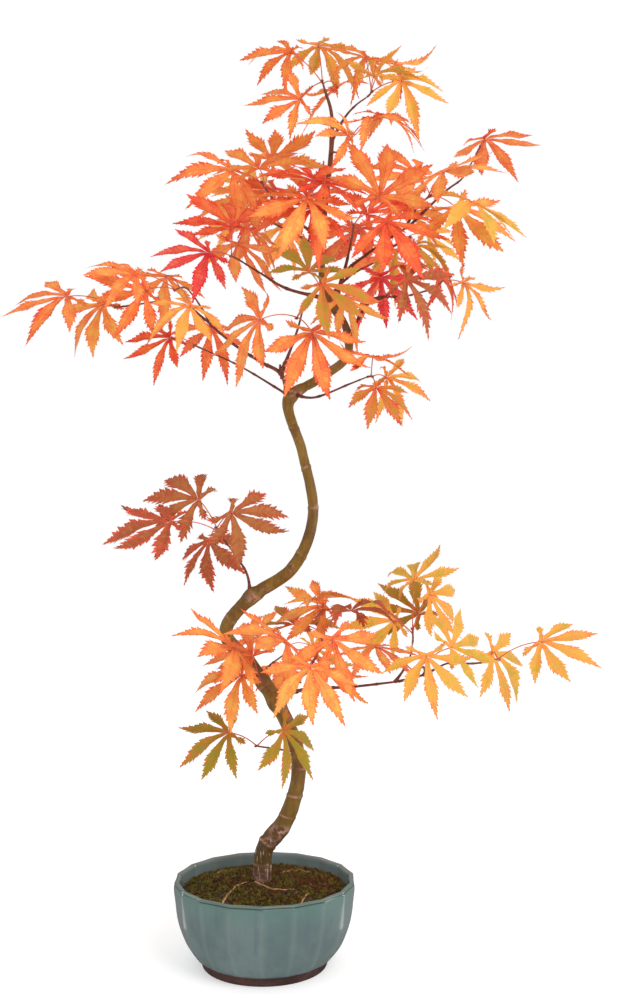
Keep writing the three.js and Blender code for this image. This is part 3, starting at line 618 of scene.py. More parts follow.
def clay_material(colour):
    """The grainy unglazed clay of the foot."""
    g = Graph("foot_clay")
    grain = g.noise(600, 5.0, roughness=0.7)
    cloud = g.noise(50, 3.0)
    base = g.mix(cloud.step(0.35, 0.65), linear(colour), linear(colour, 0.72))
    base = g.mix(grain.step(0.55, 0.8) * 0.4, base, linear((124, 96, 84)))
    return g.finish(Base_Color=base, Roughness=0.78 + grain * 0.15, Normal=g.bump(grain, 0.0004, 0.6))


def ground_material(name, first, second, scale, rough=0.9):
    """Two earthy colours, mottled at a scale, for soil, moss, scraps and rootlets."""
    g = Graph(name)
    coarse = g.noise(scale, 5.0, roughness=0.65)
    fine = g.noise(scale * 5, 4.0, roughness=0.7)
    base = g.mix(coarse.step(0.36, 0.64), linear(first), linear(second))
    base = g.mix(fine.step(0.5, 0.8) * 0.35, base, linear(second, 1.35))
    return g.finish(Base_Color=base, Roughness=rough, Normal=g.bump(fine + coarse, 0.0008, 0.7))


def floor_material(shade, glow):
    """A pale floor that the glaze mirrors only dimly."""
    g = Graph("floor")
    rough = 0.75 + g.noise(3, 2.0) * 0.1
    mirrored = g.node("ShaderNodeBsdfDiffuse", {}, {"Color": (0.3, 0.3, 0.3, 1)})
    glossy = g.value("ShaderNodeLightPath", {}, {}, "Is Glossy Ray")
    shown = g.node("ShaderNodeMixShader", {}, {0: glossy, 1: g.shader.outputs[0], 2: mirrored.outputs[0]})
    g.tree.links.new(shown.outputs[0], g.output.inputs[0])
    return g.finish(Base_Color=(shade, shade, shade, 1), Roughness=rough, Specular_IOR_Level=0.1,
                    Emission_Color=(1, 1, 1, 1), Emission_Strength=glow)


# -------- properties
class MapleWood(bpy.types.PropertyGroup):
    relief: bpy.props.FloatProperty(
        name="Relief", description="How strongly the bark swells and sinks", default=1.0, min=0, max=3)
    ring_step: bpy.props.FloatProperty(
        name="Ring spacing", description="Distance between the old bud rings on a bough, in millimetres",
        default=17.0, min=5, max=60)
    olive: bpy.props.FloatVectorProperty(
        name="Olive bark", description="The bark's greener colour, from 0 to 255", size=3,
        default=(131, 98, 34))
    brown: bpy.props.FloatVectorProperty(
        name="Brown bark", description="The bark's browner colour, from 0 to 255", size=3,
        default=(108, 75, 38))


class MapleLeaves(bpy.types.PropertyGroup):
    tooth: bpy.props.FloatProperty(
        name="Tooth", description="Depth of the teeth, in leaf lengths", default=0.024, min=0, max=0.08)
    teeth: bpy.props.IntProperty(
        name="Teeth", description="Double teeth on each side of the middle lobe", default=9, min=4, max=20)
    fold: bpy.props.FloatProperty(
        name="Fold", description="How far a lobe folds up from its vein", default=0.46, min=0, max=1)
    rib: bpy.props.FloatProperty(
        name="Rib", description="How far the side veins stand out, in leaf lengths", default=0.0035,
        min=0, max=0.02)
    curl: bpy.props.FloatProperty(
        name="Curl", description="How far the lobes curl and wave", default=1.0, min=0, max=3)
    stalk_radius: bpy.props.FloatProperty(
        name="Stalk radius", description="Radius of a leaf's stalk, in millimetres", default=0.46,
        min=0.2, max=1)


class MaplePot(bpy.types.PropertyGroup):
    glaze: bpy.props.FloatVectorProperty(
        name="Glaze", description="The glaze's usual colour, from 0 to 255", size=3, default=(104, 122, 120))
    deep: bpy.props.FloatVectorProperty(
        name="Deep glaze", description="The glaze's colour where it lies thick, from 0 to 255", size=3,
        default=(87, 107, 105))
    clay: bpy.props.FloatVectorProperty(
        name="Clay", description="The bare foot's colour, from 0 to 255", size=3, default=(84, 51, 45))
    panel_steps: bpy.props.IntProperty(
        name="Panel steps", description="Facets across each panel", default=12, min=4, max=24)


class MapleSoil(bpy.types.PropertyGroup):
    moss: bpy.props.FloatProperty(
        name="Moss", description="Tufts of each moss to a square metre", default=190000.0, min=0)
    litter: bpy.props.FloatProperty(
        name="Litter", description="Scraps of bark to a square metre", default=12000.0, min=0)
    seed: bpy.props.IntProperty(name="Seed", description="Changes where the tufts lie", default=4)


class MapleStudio(bpy.types.PropertyGroup):
    distance: bpy.props.FloatProperty(
        name="Camera distance", description="From the pot's middle to the camera", default=1.034,
        unit="LENGTH")
    height: bpy.props.FloatProperty(
        name="Camera height", description="Height of the camera over the floor", default=0.393, unit="LENGTH")
    aside: bpy.props.FloatProperty(
        name="Camera offset", description="How far right of the pot's middle it looks", default=0.0397,
        unit="LENGTH")
    lens: bpy.props.FloatProperty(
        name="Lens", description="Focal length on a 36 mm sensor", default=43.78, unit="CAMERA")
    fill: bpy.props.FloatProperty(
        name="Fill light", description="Light from all round", default=0.82, min=0)
    glint: bpy.props.FloatProperty(
        name="Glint", description="How bright the room is in the glaze and bark", default=0.22, min=0)
    key: bpy.props.FloatProperty(
        name="Key light", description="Power of the main soft light, in watts", default=16.0, min=0)


# -------- wood
# Rings on the trunk: height in millimetres, width, and how far each stands out.
RINGS = [(83, 1.3, 0.4), (101, 1.5, 0.6), (125, 1.1, 0.35), (143, 1.4, 0.5), (166, 1.0, 0.3),
         (196, 1.1, 0.3), (233, 1.2, 0.35), (262, 1.0, 0.25), (291, 1.2, 0.3), (313, 1.8, 0.75),
         (347, 1.2, 0.4), (387, 1.3, 0.45), (420, 1.2, 0.4), (454, 1.3, 0.4), (487, 1.8, 0.6),
         (527, 1.1, 0.35), (560, 1.0, 0.3), (597, 1.0, 0.3), (646, 0.9, 0.25), (703, 0.8, 0.2)]
RING_TILT = 0.9  # how far a ring rises and falls on its way round
# Pale scars on the trunk's front: x and z in millimetres, half width, half height and strength.
SCARS = [(4, 104, 5, 3.4, 1.0), (13, 114, 8, 3.6, 1.0), (11, 107, 3, 4, 0.8), (-2, 75, 10, 6, 0.9),
         (22.3, 336, 1.5, 4.5, 1.0), (1, 317, 3, 2, 0.5), (-11, 309, 5, 4, 0.55), (14, 223, 4, 7, 0.8),
         (20, 212, 3, 5, 0.7), (45, 388, 1.4, 2.4, 0.6), (33, 454, 2.5, 2, 0.8), (24, 484, 6, 4, 0.6),
         (60, 508, 4, 3, 0.4)]
# Knobs on the trunk: x, y, z, spread and rise in millimetres.
KNOBS = [(-4, -4, 107, 3.2, 2.0), (3, -7, 103, 3, 0.9), (9, -9, 107, 3, 0.8), (20, -7, 111, 4, 1.2),
         (11, -8, 117, 3, 0.9), (17, -8, 118, 3, 0.8), (-12, -2, 304, 4, 1.2), (22, -5, 338, 3, 0.7),
         (-5, 0, 222, 4, 1.0), (27, -4, 214, 4, 1.0), (30, -6, 455, 3, 0.6), (19, 0, 489, 4, 1.0)]


def bump_at(z, centre, width):
    """A round bump, 1 high at its centre."""
    return np.exp(-(((z - centre) / width) ** 2))


WAVES = 7  # in one uneven field


def wavy(theta, along, seed):
    """A smooth uneven field round and along a limb, about -1 to 1."""
    drawn = draws_of(seed, WAVES * 4)
    total = np.zeros(np.broadcast(theta, along).shape)
    for k in range(WAVES):
        a, b, c, d = drawn[4 * k:4 * k + 4]
        turns = 1 + int(a * 4)
        total += (0.4 + 0.6 * d) * np.sin(turns * theta + along * (0.05 + 0.35 * b) + TURN * c)
    return total / math.sqrt(WAVES)


def angles_round(sides):
    return np.linspace(0, 2 * math.pi, sides, endpoint=False)


def bark_tube(points, radii):
    """Points and triangles of a closed tube on a path, from its radius at each step and angle."""
    sides = radii.shape[1]
    across, beside = frames_along(points)
    theta = angles_round(sides)
    ring = np.cos(theta)[:, None] * across[:, None, :] + np.sin(theta)[:, None] * beside[:, None, :]
    grid = points[:, None, :] + radii[..., None] * ring
    verts = np.vstack([grid.reshape(-1, 3), points[:1], points[-1:]])
    last = (len(points) - 1) * sides
    around = np.arange(sides)
    after = (around + 1) % sides
    foot = np.stack([after, around, np.full(sides, len(verts) - 2)], -1)
    top = np.stack([last + around, last + after, np.full(sides, len(verts) - 1)], -1)
    quads = grid_faces(len(points), sides, closed=True)
    return verts, np.vstack([quads[:, [0, 1, 2]], quads[:, [0, 2, 3]], foot, top])


TRUNK_STEPS = 760
TRUNK_SIDES = 40
TRUNK_END = 66  # the bark goes down to this height, under the soil


def trunk_relief(theta, points, radii):
    """How far the trunk's bark stands out, in radii: its flare, swellings, rings and collars."""
    z = points[:, 2:3]
    over = z - TRUNK[0][2]
    length = np.concatenate([[0], np.cumsum(np.linalg.norm(np.diff(points, axis=0), axis=1))])[:, None]
    out = 0.035 * wavy(theta, length, 11) + 0.012 * wavy(theta * 3, length * 3, 12)
    out = out + 0.1 * np.exp(-over / 7) * np.cos(3 * theta + 0.6) + 0.06 * np.exp(-over / 4)
    out = out + 0.12 * bump_at(z, 108, 6) * np.cos(2 * theta + 1) + 0.1 * bump_at(z, 312, 5)
    for height, width, rise in RINGS:
        dip = z - height - RING_TILT * np.sin(theta + height)
        lifted = bump_at(dip, 0, width) - 0.5 * bump_at(dip, 1.7 * width, width * 0.6)
        out = out + rise / radii[:, None] * lifted
    for _, parent, at, _, base, _ in LIMBS:
        if parent == "trunk":
            apart = ((points - catmull(TRUNK, at)[0]) ** 2).sum(1)[:, None]
            out = out + 0.16 * np.exp(-apart / (3.2 * base) ** 2)
    return out


def trunk_marks(theta, middle, around):
    """Where the trunk shows rings, scars, young wood, pale streaks and a darker foot."""
    height = middle[:, 2]
    front = np.clip(0.6 - (around[:, 1] - middle[:, 1]) / 6, 0, 1)
    ring = sum(bump_at(height - RING_TILT * np.sin(theta + h), h, 0.5 * w)
               * (0.55 + 0.45 * np.sin(theta * 2 + h)) for h, w, _ in RINGS)
    scar = sum(s * bump_at(around[:, 0], x, w) * bump_at(around[:, 2], z, h) for x, z, w, h, s in SCARS)
    young = np.clip((height - 560) / 160, 0, 0.8)
    marks = {"ring": ring, "scar": scar * front, "young": young, "streaked": (100 - height) / 8,
             "low": (150 - height) / 50}
    return {name: np.append(values, (0, 0)) for name, values in marks.items()}


def trunk_mesh(wood, material):
    """The trunk's bark as one closed tube with its knobs."""
    share = np.linspace(0, 1, TRUNK_STEPS)
    points = catmull(TRUNK, share)
    radii = np.interp(share, np.linspace(0, 1, len(TRUNK)), [row[3] for row in TRUNK])
    theta = angles_round(TRUNK_SIDES)
    verts, faces = bark_tube(points, radii[:, None] * (1 + trunk_relief(theta, points, radii) * wood.relief))
    middle = np.repeat(points, TRUNK_SIDES, axis=0)
    outward = verts - np.vstack([middle, points[:1], points[-1:]])
    outward /= np.maximum(np.linalg.norm(outward, axis=1), 1e-6)[:, None]
    for *spot, spread, rise in KNOBS:
        near = ((verts - spot) ** 2).sum(1)[:, None]
        verts = verts + wood.relief * rise * np.exp(-near / spread ** 2) * outward
    verts[:, 2] = np.maximum(verts[:, 2], TRUNK_END)
    thing = new_mesh("trunk_bark", verts, faces, [material])
    give_values(thing, trunk_marks(np.tile(theta, len(points)), middle, verts[:-2]))
    ride(thing, "bark", "trunk")


BOUGH_STEP = 0.9
BOUGH_SIDES = 14
THINNEST = 0.5  # radius of bark at a twig's end


def bough_relief(theta, s, knots, number, at):
    """How far a bough's bark stands out, in radii: its collar at the fork and its bud rings."""
    out = 0.05 * wavy(theta, s, 40 + number)
    if at != 1:
        out = out + 0.7 * np.exp(-s / 5.5)
    for knot in knots:
        out = out + 0.28 * bump_at(s, knot, 0.9) + 0.1 * bump_at(s, knot, 3.0)
    return out


def bough_mesh(wood, material):
    """The bark of all boughs and twigs, joined."""
    everything, triangles, rings, young = [], [], [], []
    first = 0
    for number, (name, _, at, _, base, tip) in enumerate(LIMBS):
        rows = LIMB_ROWS[name][0]
        reach = np.linalg.norm(np.diff(rows, axis=0), axis=1).sum()
        share = np.linspace(0, 1, max(int(reach / BOUGH_STEP), 12))
        s = (share * reach)[:, None]
        radii = (base + (tip - base) * share) * (0.68 - 0.1 * share + 0.2 * np.exp(-share * reach / 22))
        radii = np.maximum(radii, THINNEST)
        knots = np.arange(wood.ring_step * (0.5 + 0.1 * (number % 5)), reach - 3, wood.ring_step)
        relief = bough_relief(angles_round(BOUGH_SIDES), s, knots, number, at)
        verts, faces = bark_tube(catmull(rows, share), radii[:, None] * (1 + relief * wood.relief))
        everything.append(verts)
        triangles.append(faces + first)
        first += len(verts)
        marks = sum((bump_at(s, knot + 0.9, 0.5) for knot in knots), np.zeros_like(s))
        rings.append(np.append(np.repeat(marks[:, 0], BOUGH_SIDES), (0, 0)))
        slim = (2.9 - radii) / 1.5
        young.append(np.append(np.repeat(slim, BOUGH_SIDES), (slim[0], slim[-1])))
    thing = new_mesh("bough_bark", np.vstack(everything), np.vstack(triangles), [material])
    none = np.zeros(first)
    give_values(thing, {"ring": np.concatenate(rings), "young": np.concatenate(young),
                        "scar": none, "streaked": none, "low": none})
    ride(thing, "twig_bark", *[row[0] for row in LIMBS])


class MAPLE_OT_wood(bpy.types.Operator):
    """Makes the bark of the trunk and boughs"""
    bl_idname = "maple.wood"
    bl_label = "Trunk and boughs"

    def execute(self, context):
        wood = context.scene.maple_wood
        bark = bark_material(tuple(wood.olive), tuple(wood.brown))
        trunk_mesh(wood, bark)
        bough_mesh(wood, bark)
        return {"FINISHED"}


# -------- foliage
# Half width along a lobe, as shares of its length and of its widest.
PROFILE = ((0, 0.1, 0.2, 0.3, 0.4, 0.5, 0.6, 0.7, 0.8, 0.9, 1),
           (0.4, 0.48, 0.68, 0.9, 1, 0.97, 0.82, 0.6, 0.37, 0.17, 0))
ACROSS = (1.0, 0.72, 0.37)  # edge, middle and inner columns of a half lobe
SLANT = 1.1  # how far the side veins run ahead on their way to the edge
MID_VEIN = 0.0065  # half its width
LOBE_ROOT = NOTCH * 0.94
TOOTH_STEPS = 4  # points on the edge for each double tooth
DRY_TEETH = 1.6  # how much larger the teeth of rust leaves are
DRY_WIDTH = 1.12
HEEL_TURN = 58  # degrees from the outermost lobes round to the heel
REDDEST = 5  # the last of a tint's paints


def margin(width, teeth, depth, drawn, late):
    """How far the edge stands from the vein and runs ahead at each station, tooth by tooth."""
    steps = TOOTH_STEPS * teeth
    t = np.arange(1, steps + 1) / steps
    body = width * np.interp(t, *PROFILE)
    tooth = np.clip((t - 0.1) / 0.25, 0, 1) * np.clip((1.04 - t) / 0.3, 0, 1)
    big = 0.65 + 0.7 * np.array([drawn[(k // TOOTH_STEPS) % len(drawn)] for k in range(steps)])
    place = (np.arange(steps) + late) % TOOTH_STEPS
    out = depth * tooth * big * np.choose(place, (-0.75, 0.3, 0.05, 1.0))
    ahead = depth * tooth * big * np.choose(place, (0.0, 0.55, 0.1, 1.3))
    half = np.maximum(body + out, 0.0)
    half[-1], ahead[-1] = 0.0, 0.0
    return half, ahead


def lobe_outline(length, width, sides, leaves, drawn, bold):
    """One lobe laid flat, in leaf lengths: rows of eight points across it, from its root to its tip."""
    teeth = max(int(round(leaves.teeth * length ** 0.7 / bold ** 0.4)), 4)
    steps = TOOTH_STEPS * teeth
    x = LOBE_ROOT + (length - LOBE_ROOT) * np.arange(1, steps + 1) / steps
    t = (x - LOBE_ROOT) / (length - LOBE_ROOT)
    blend = np.minimum(t / 0.1, 1.0)
    halves = []
    for side, (turn, radius) in enumerate(sides):
        half, ahead = margin(width, teeth, leaves.tooth * bold, drawn[9:], 2 * side)
        near = radius * math.sin(math.radians(turn))
        halves.append((near * (1 - blend) + half * blend, ahead))
    rows = []
    for share in (0.0, 0.5, 1.0):
        row = []
        for sign, (turn, radius) in zip((-1, 1), sides):
            edge = np.array((share * radius * math.cos(math.radians(turn)),
                             sign * share * radius * math.sin(math.radians(turn))))
            centre = np.array((share * LOBE_ROOT, 0.0))
            half = [centre + part * (edge - centre) for part in (*ACROSS, 0.07)]
            row = row + half if sign < 0 else row + half[::-1]
        rows.append(row)
    for k in range(steps):
        row = []
        for sign, (half, ahead) in zip((-1, 1), halves):
            smooth = width * np.interp(t[k], *PROFILE) * blend[k] + half[k] * (1 - blend[k])
            smooth = min(smooth, half[k]) if t[k] > 0.97 else smooth
            slim = min(MID_VEIN * (1.1 - t[k]), 0.5 * smooth)
            slant = SLANT * smooth * blend[k] * (1 - t[k])
            row_half = [np.array((x[k] + ahead[k] + slant, sign * half[k]))]
            row_half += [np.array((x[k] + ahead[k] * 0.2 + slant * part, sign * part * smooth))
                         for part in ACROSS[1:]]
            row_half.append(np.array((x[k], sign * slim)))
            row = row + row_half if sign < 0 else row + row_half[::-1]
        rows.append(row)
    return np.array(rows)


def lobe_lift(x, y, length, width, leaves, drawn, young):
    """How high each point of a lobe stands: its fold, curl, veins, twist, waves and hooked tip."""
    past = np.clip(x - LOBE_ROOT, 0, None)
    bowed = np.clip(np.abs(y) / width, 0, 1.3)
    tighter = 1 + 1.3 * young
    z = leaves.fold * tighter * (0.3 + 1.4 * drawn[1]) * np.abs(y) * np.clip(1.15 - x / length, 0.2, 1)
    z = z + 0.02 * (drawn[5] - 0.3) * bowed ** 2
    z = z + leaves.curl * tighter * (drawn[2] - 0.66) * 0.66 * past ** 2
    ribs = np.cos(math.pi / 2 * np.arange(len(x)))[:, None]
    z = z + leaves.rib * ribs * np.sin(TURN / 2 * np.clip(bowed, 0, 1)) * np.clip(past * 9, 0, 1)
    z = z + leaves.curl * (drawn[3] - 0.5) * 1.1 * y * past
    wave = np.sin(TURN * (x * (2.0 + 1.2 * drawn[4]) + drawn[5]) + np.sign(y))
    z = z + leaves.curl * 0.013 * wave * bowed ** 2 * np.clip(past * 6, 0, 1)
    hook = (drawn[6] - 0.55) * (2.6 if drawn[7] > 0.66 else 0.8) * (1 + young)
    return z + leaves.curl * hook * np.clip(x / length - 0.6, 0, None) ** 2


def lobe_redness(mid, length, drawn, dry, young):
    """How far each face is reddened at the edge, the veins, the root and the tip."""
    red = np.zeros((len(mid), 7))
    red[:, (0, 6)] = 1.1
    red[:, (2, 4)] = -0.1
    veined = -0.9 if dry else 0.28
    red[:, 1:6] += np.where(np.arange(len(mid)) % TOOTH_STEPS == 1, veined, -veined / 4)[:, None]
    red[:, 3] = np.where(mid < 0.75 * length, 1.4, 0.6) * (-0.5 if dry else 1)
    tip = 0.66 + 0.2 * drawn[13] - 0.14 * young
    red = red + 1.7 * np.exp(-mid / 0.13)[:, None] + 5.0 * np.clip(mid / length - tip, 0, 1)[:, None]
    if dry:
        red = red + 1.9 * np.clip(mid / length - 0.35, 0, 1)[:, None] - 0.2
    return red


def lobe_grid(angle, length, width, sides, leaves, drawn, bold, young):
    """One lobe's points in leaf lengths, in rows across it, and how far each face is to be reddened."""
    flat = lobe_outline(length, width, sides, leaves, drawn, bold)
    x, y = flat[..., 0], flat[..., 1]
    z = lobe_lift(x, y, length, width, leaves, drawn, young)
    sweep = (drawn[0] - 0.5) * 0.46
    y = y + sweep * np.clip(x - 0.2, 0, None) ** 2
    turn = math.radians(angle + (drawn[8] - 0.5) * 6)
    u = x * math.cos(turn) - y * math.sin(turn)
    v = x * math.sin(turn) + y * math.cos(turn)
    red = lobe_redness((x[:-1, 3] + x[1:, 3]) / 2, length, drawn, bold == DRY_TEETH, young)
    return np.stack([u, v, z], -1).reshape(-1, 3), len(flat), red.reshape(-1)


def leaf_mesh(pose, leaves, tint, young):
    """One whole leaf: points in millimetres, quads and the paint of each, the last one the reddest."""
    points, faces, shades = [], [], []
    first = 0
    whole = draws_of(pose["seed"] * 7 + 3, 4)
    dry = tint == "rust"
    bold = DRY_TEETH if dry else 0.8 + 0.45 * whole[1]
    for k, (angle, length, width) in enumerate(LOBES):
        drawn = draws_of(pose["seed"] * 13 + k * 101 + 7, 24)
        before = (angle - LOBES[k - 1][0]) / 2 if k else None
        after = (LOBES[k + 1][0] - angle) / 2 if k < len(LOBES) - 1 else None
        sides = [(turn, NOTCH) if turn else (HEEL_TURN, HEEL) for turn in (before, after)]
        stretch = 1 + (drawn[6] - 0.5) * 0.14
        slim = width * (1 - 0.3 * young) * (0.84 + 0.2 * drawn[14]) * (DRY_WIDTH if dry else 1)
        flat, rows, red = lobe_grid(angle, length * stretch, slim, sides, leaves, drawn, bold, young)
        points.append(flat)
        faces.append(grid_faces(rows, 8, first))
        patch = np.array(draws_of(pose["seed"] + k * 31, len(red)))
        cloud = np.sin(flat[:, 0] * 15 + TURN * drawn[10]) * np.sin(flat[:, 1] * 19 + TURN * drawn[11])
        cloud = cloud[faces[-1][:, 0] - first]
        tone = 1.1 + 1.6 * (whole[0] - 0.42) + 1.0 * (drawn[12] - 0.5)
        shades.append(tone + red + 0.75 * cloud + 0.35 * (patch - 0.5))
        first += len(flat)
    flat = np.vstack(points)
    u, v, w = flat[:, 0], flat[:, 1], flat[:, 2]
    height = w - SAG * (u * u + v * v)
    spread = u[:, None] * pose["along"] + v[:, None] * pose["side"] + height[:, None] * pose["up"]
    shade = np.clip(np.rint(np.concatenate(shades)), 0, REDDEST).astype(int)
    return pose["hub"] + pose["size"] * spread, np.vstack(faces)[:, ::-1], shade


def all_poses():
    """Each mass with its stem and its leaves' poses."""
    grown = []
    for mass in MASSES:
        stem = stem_of(mass)
        poses = [leaf_pose(mass, stem, index) for index in range(len(mass[8]))]
        grown.append((mass, stem, poses))
    return grown


class MAPLE_OT_leaves(bpy.types.Operator):
    """Makes the leaves, a joined piece for each tint"""
    bl_idname = "maple.leaves"
    bl_label = "Leaves"

    def execute(self, context):
        leaves = context.scene.maple_leaves
        kinds = {tint: {"points": [], "faces": [], "paints": [], "nodes": [], "count": 0}
                 for tint in TINTS.values()}
        for mass, _, poses in all_poses():
            name, crest, length, letters = mass[0], mass[3], mass[7], mass[9]
            small = (GROWN_LEAF - length) / (GROWN_LEAF - SMALL_LEAF)
            slender = min(max(small, 0), 1) if crest[2] > CROWN_FOOT else 0
            for pose, letter in zip(poses, letters):
                kind = kinds[TINTS[letter]]
                young = 0 if letter == "l" else slender
                points, faces, paints = leaf_mesh(pose, leaves, TINTS[letter], young)
                kind["points"].append(points)
                kind["faces"].append(faces + kind["count"])
                kind["paints"].append(paints)
                kind["nodes"].append(name)
                kind["count"] += len(points)
        for tint, kind in kinds.items():
            thing = new_mesh(f"leaves_{tint}", np.vstack(kind["points"]), np.vstack(kind["faces"]),
                             leaf_materials(tint), np.concatenate(kind["paints"]))
            ride(thing, f"foliage_{tint}", *sorted(set(kind["nodes"])))
        return {"FINISHED"}


STUB = [(14.5, 2, 496), (13.6, 2, 501), (13, 1.8, 505), (13, 1.6, 508.5)]  # a dead spur over the fork
STUB_GIRTH = (1.5, 1.3, 1.2, 0.9)
BUD_SHAPE = ((0, 0.7, 1.5, 2.4, 3.0), (0.5, 0.85, 0.8, 0.45, 0.1))  # how far along it, and its radius there
STEM_POINTS = 33
STEM_GIRTH = (0.95, 0.7)
KNOT_STEP = int(PAIR_STEP * (STEM_POINTS - 1))  # a stem is thicker where a pair of leaves stands
STALK_POINTS = 19
STEM_SIDES = 8
STALK_SIDES = 6


class MAPLE_OT_twigs(bpy.types.Operator):
    """Makes the stems of the leaf masses, their buds and the leaves' stalks"""
    bl_idname = "maple.twigs"
    bl_label = "Twigs and stalks"

    def execute(self, context):
        thin = context.scene.maple_leaves.stalk_radius
        stems, stalks = [], []
        for mass, stem, poses in all_poses():
            smooth = catmull(stem, np.linspace(0, 1, STEM_POINTS))
            girth = np.linspace(*STEM_GIRTH, STEM_POINTS)
            for knot in range(KNOT_STEP, STEM_POINTS - 1, KNOT_STEP):
                girth[knot] += 0.22
                girth[knot - 1] += 0.1
            stems.append((smooth, girth))
            ahead = unit(stem[-1] - stem[-2])
            aside = unit(np.cross(ahead, (0.3, 0.9, 0.2)))
            for lean in (-0.5, 0.0, 0.5):
                way = unit(ahead + lean * aside)
                stems.append((stem[-1] + np.outer(BUD_SHAPE[0], way), BUD_SHAPE[1]))
            for pose in poses:
                path = catmull(pose["stalk"], np.linspace(0, 1, STALK_POINTS))
                path = np.vstack([path, pose["hub"] + 0.03 * pose["size"] * pose["along"]])
                place = np.arange(len(path))
                swell = 1 + 0.7 * np.exp(-place / 1.4) + 0.25 * np.exp(-place[::-1] / 2.0)
                stalks.append((path, thin * swell))
        stems.append((np.array(STUB, float), STUB_GIRTH))
        names = [mass[0] for mass in MASSES]
        ride(tubes("stems", stems, twig_material(), STEM_SIDES), "twig_bark", *names)
        made = tubes("leaf_stalks", stalks, stalk_material(), STALK_SIDES)
        ride(made, "foliage_crimson", *names)
        return {"FINISHED"}


# -------- pot
WALL_ROWS, LIP_ROWS, INSIDE_ROWS = 64, 18, 14
POT_FLOOR = [(60, 44), (0, 44)]  # under the soil
HALF_PANEL = math.pi / PANELS
PANEL_HOLLOW = 0.005  # how far a panel's middle lies in, as a share of the radius
FOOT_EDGE = 53  # from this radius outwards the round foot turns into panels
CREASE = 42  # degrees between faces that meet in a sharp edge
CRISP, SOFTER = 0.05, 0.3  # a ridge's roundness at the lip, and how much is added low down, in half panels
CRISP_FROM, CRISP_TO = 54, 66  # the heights between which it turns crisp
BOWL_OUT = 74  # only the bowl's outside reaches past this radius
RIM, GROOVE, GLAZE_END = 72.2, 70.2, 8.0  # heights of the lip, of the groove under it and of the bare foot


def rounded(rows, steps):
    """More points along a row of places in a plane, smoothly."""
    rows = np.array(rows, float)
    flat = np.hstack([rows, np.zeros((len(rows), 1))])
    return catmull(flat, np.linspace(0, 1, steps))[:, :2]


def from_ridge(theta):
    """The angle to the nearest ridge between two panels."""
    return np.abs((theta + HALF_PANEL) % (2 * HALF_PANEL) - HALF_PANEL)


def pot_radii(theta, r, z):
    """The radius at each angle, with ridges that are soft low down and crisp at the lip."""
    soft = HALF_PANEL * (CRISP + SOFTER * np.clip((CRISP_TO - z) / (CRISP_TO - CRISP_FROM), 0, 1))
    from_middle = HALF_PANEL - HALF_PANEL * np.hypot(from_ridge(theta), soft) / np.hypot(HALF_PANEL, soft)
    hollow = 1 - PANEL_HOLLOW * (1 - (from_middle / HALF_PANEL) ** 2)
    share = math.cos(HALF_PANEL) / np.cos(from_middle) * hollow
    drawn_in = np.clip((r - FOOT_EDGE) / 3.5, 0, 1) * np.clip((z - 5.6) / 2, 0, 1)
    return r * (1 - drawn_in * (1 - share))


def pot_marks(theta, r, grid):
    """Where the glaze shows its ridges, bare edges, greener top and dark groove, and where light is painted
    on the inside.
    """
    rows, count = grid.shape[:2]
    level, depth = grid[..., 2], grid[..., 1]
    ridge = np.clip(1 - from_ridge(theta) / HALF_PANEL, 0, 1)
    body = np.clip((level - 9) / 6, 0, 1) * np.clip((70 - level) / 4, 0.25, 1)
    outside = r > BOWL_OUT
    behind = np.clip(depth / 60, 0, 1)
    # the rows of the bowl's inside, which get painted light
    inside_painted_light = np.arange(rows)[:, None] >= len(FOOT) + WALL_ROWS + LIP_ROWS // 2
    marks = {
        "ridge": np.clip((ridge - 0.7) / 0.3, 0, 1) * body,
        "edge": bump_at(level, RIM, 0.35) * (0.25 + 0.75 * behind)
                + 0.5 * bump_at(level, GLAZE_END, 0.6),
        "high": np.clip((level - 52) / 14, 0, 1) * outside,
        "groove": bump_at(level, GROOVE, 0.5) * outside,
        "inside_painted_light": np.broadcast_to(inside_painted_light, (rows, count)),
    }
    return {name: values.ravel() for name, values in marks.items()}


class MAPLE_OT_pot(bpy.types.Operator):
    """Makes the panelled pot with its glaze and bare foot"""
    bl_idname = "maple.pot"
    bl_label = "Pot"

    def execute(self, context):
        pot = context.scene.maple_pot
        curves = [rounded(WALL, WALL_ROWS), rounded(LIP, LIP_ROWS), rounded(INSIDE, INSIDE_ROWS)]
        profile = np.vstack([FOOT, *curves, POT_FLOOR])
        r, z = profile[:, 0:1], profile[:, 1:2]
        count = PANELS * pot.panel_steps
        theta = np.arange(count) * 2 * math.pi / count
        radius = pot_radii(theta, r, z)
        height = np.broadcast_to(z, radius.shape)
        grid = np.stack([radius * np.sin(theta), -radius * np.cos(theta), height], -1)
        bare = np.repeat(np.arange(len(profile) - 1) < len(FOOT), count)
        paints = [glaze_material(tuple(pot.glaze), tuple(pot.deep)), clay_material(tuple(pot.clay))]
        faces = grid_faces(len(profile), count, closed=True)
        thing = new_mesh("pot_glazed", grid.reshape(-1, 3), faces, paints, bare.astype(int))
        thing.data.set_sharp_from_angle(angle=math.radians(CREASE))
        give_values(thing, pot_marks(theta, r, grid))
        ride(thing, "glaze", "pot")
        return {"FINISHED"}


# -------- soil
def scrap(name, sizes, seed):
    """A small uneven lump, longer or flatter as its sizes say, in millimetres."""
    drawn = np.array(draws_of(seed, 40)) - 0.5
    rings, around = 5, 7
    polar = np.linspace(0.12, math.pi - 0.12, rings)[:, None]
    turn = np.arange(around)[None, :] * 2 * math.pi / around
    swell = 1 + 0.6 * drawn[:rings * around].reshape(rings, around)
    grid = np.stack([
        sizes[0] * swell * np.sin(polar) * np.cos(turn), sizes[1] * swell * np.sin(polar) * np.sin(turn),
        sizes[2] * swell * np.cos(polar) * np.ones_like(turn)], -1)
    return new_mesh(name, grid.reshape(-1, 3), grid_faces(rings, around, closed=True)[:, ::-1])


LEAFLETS = 8


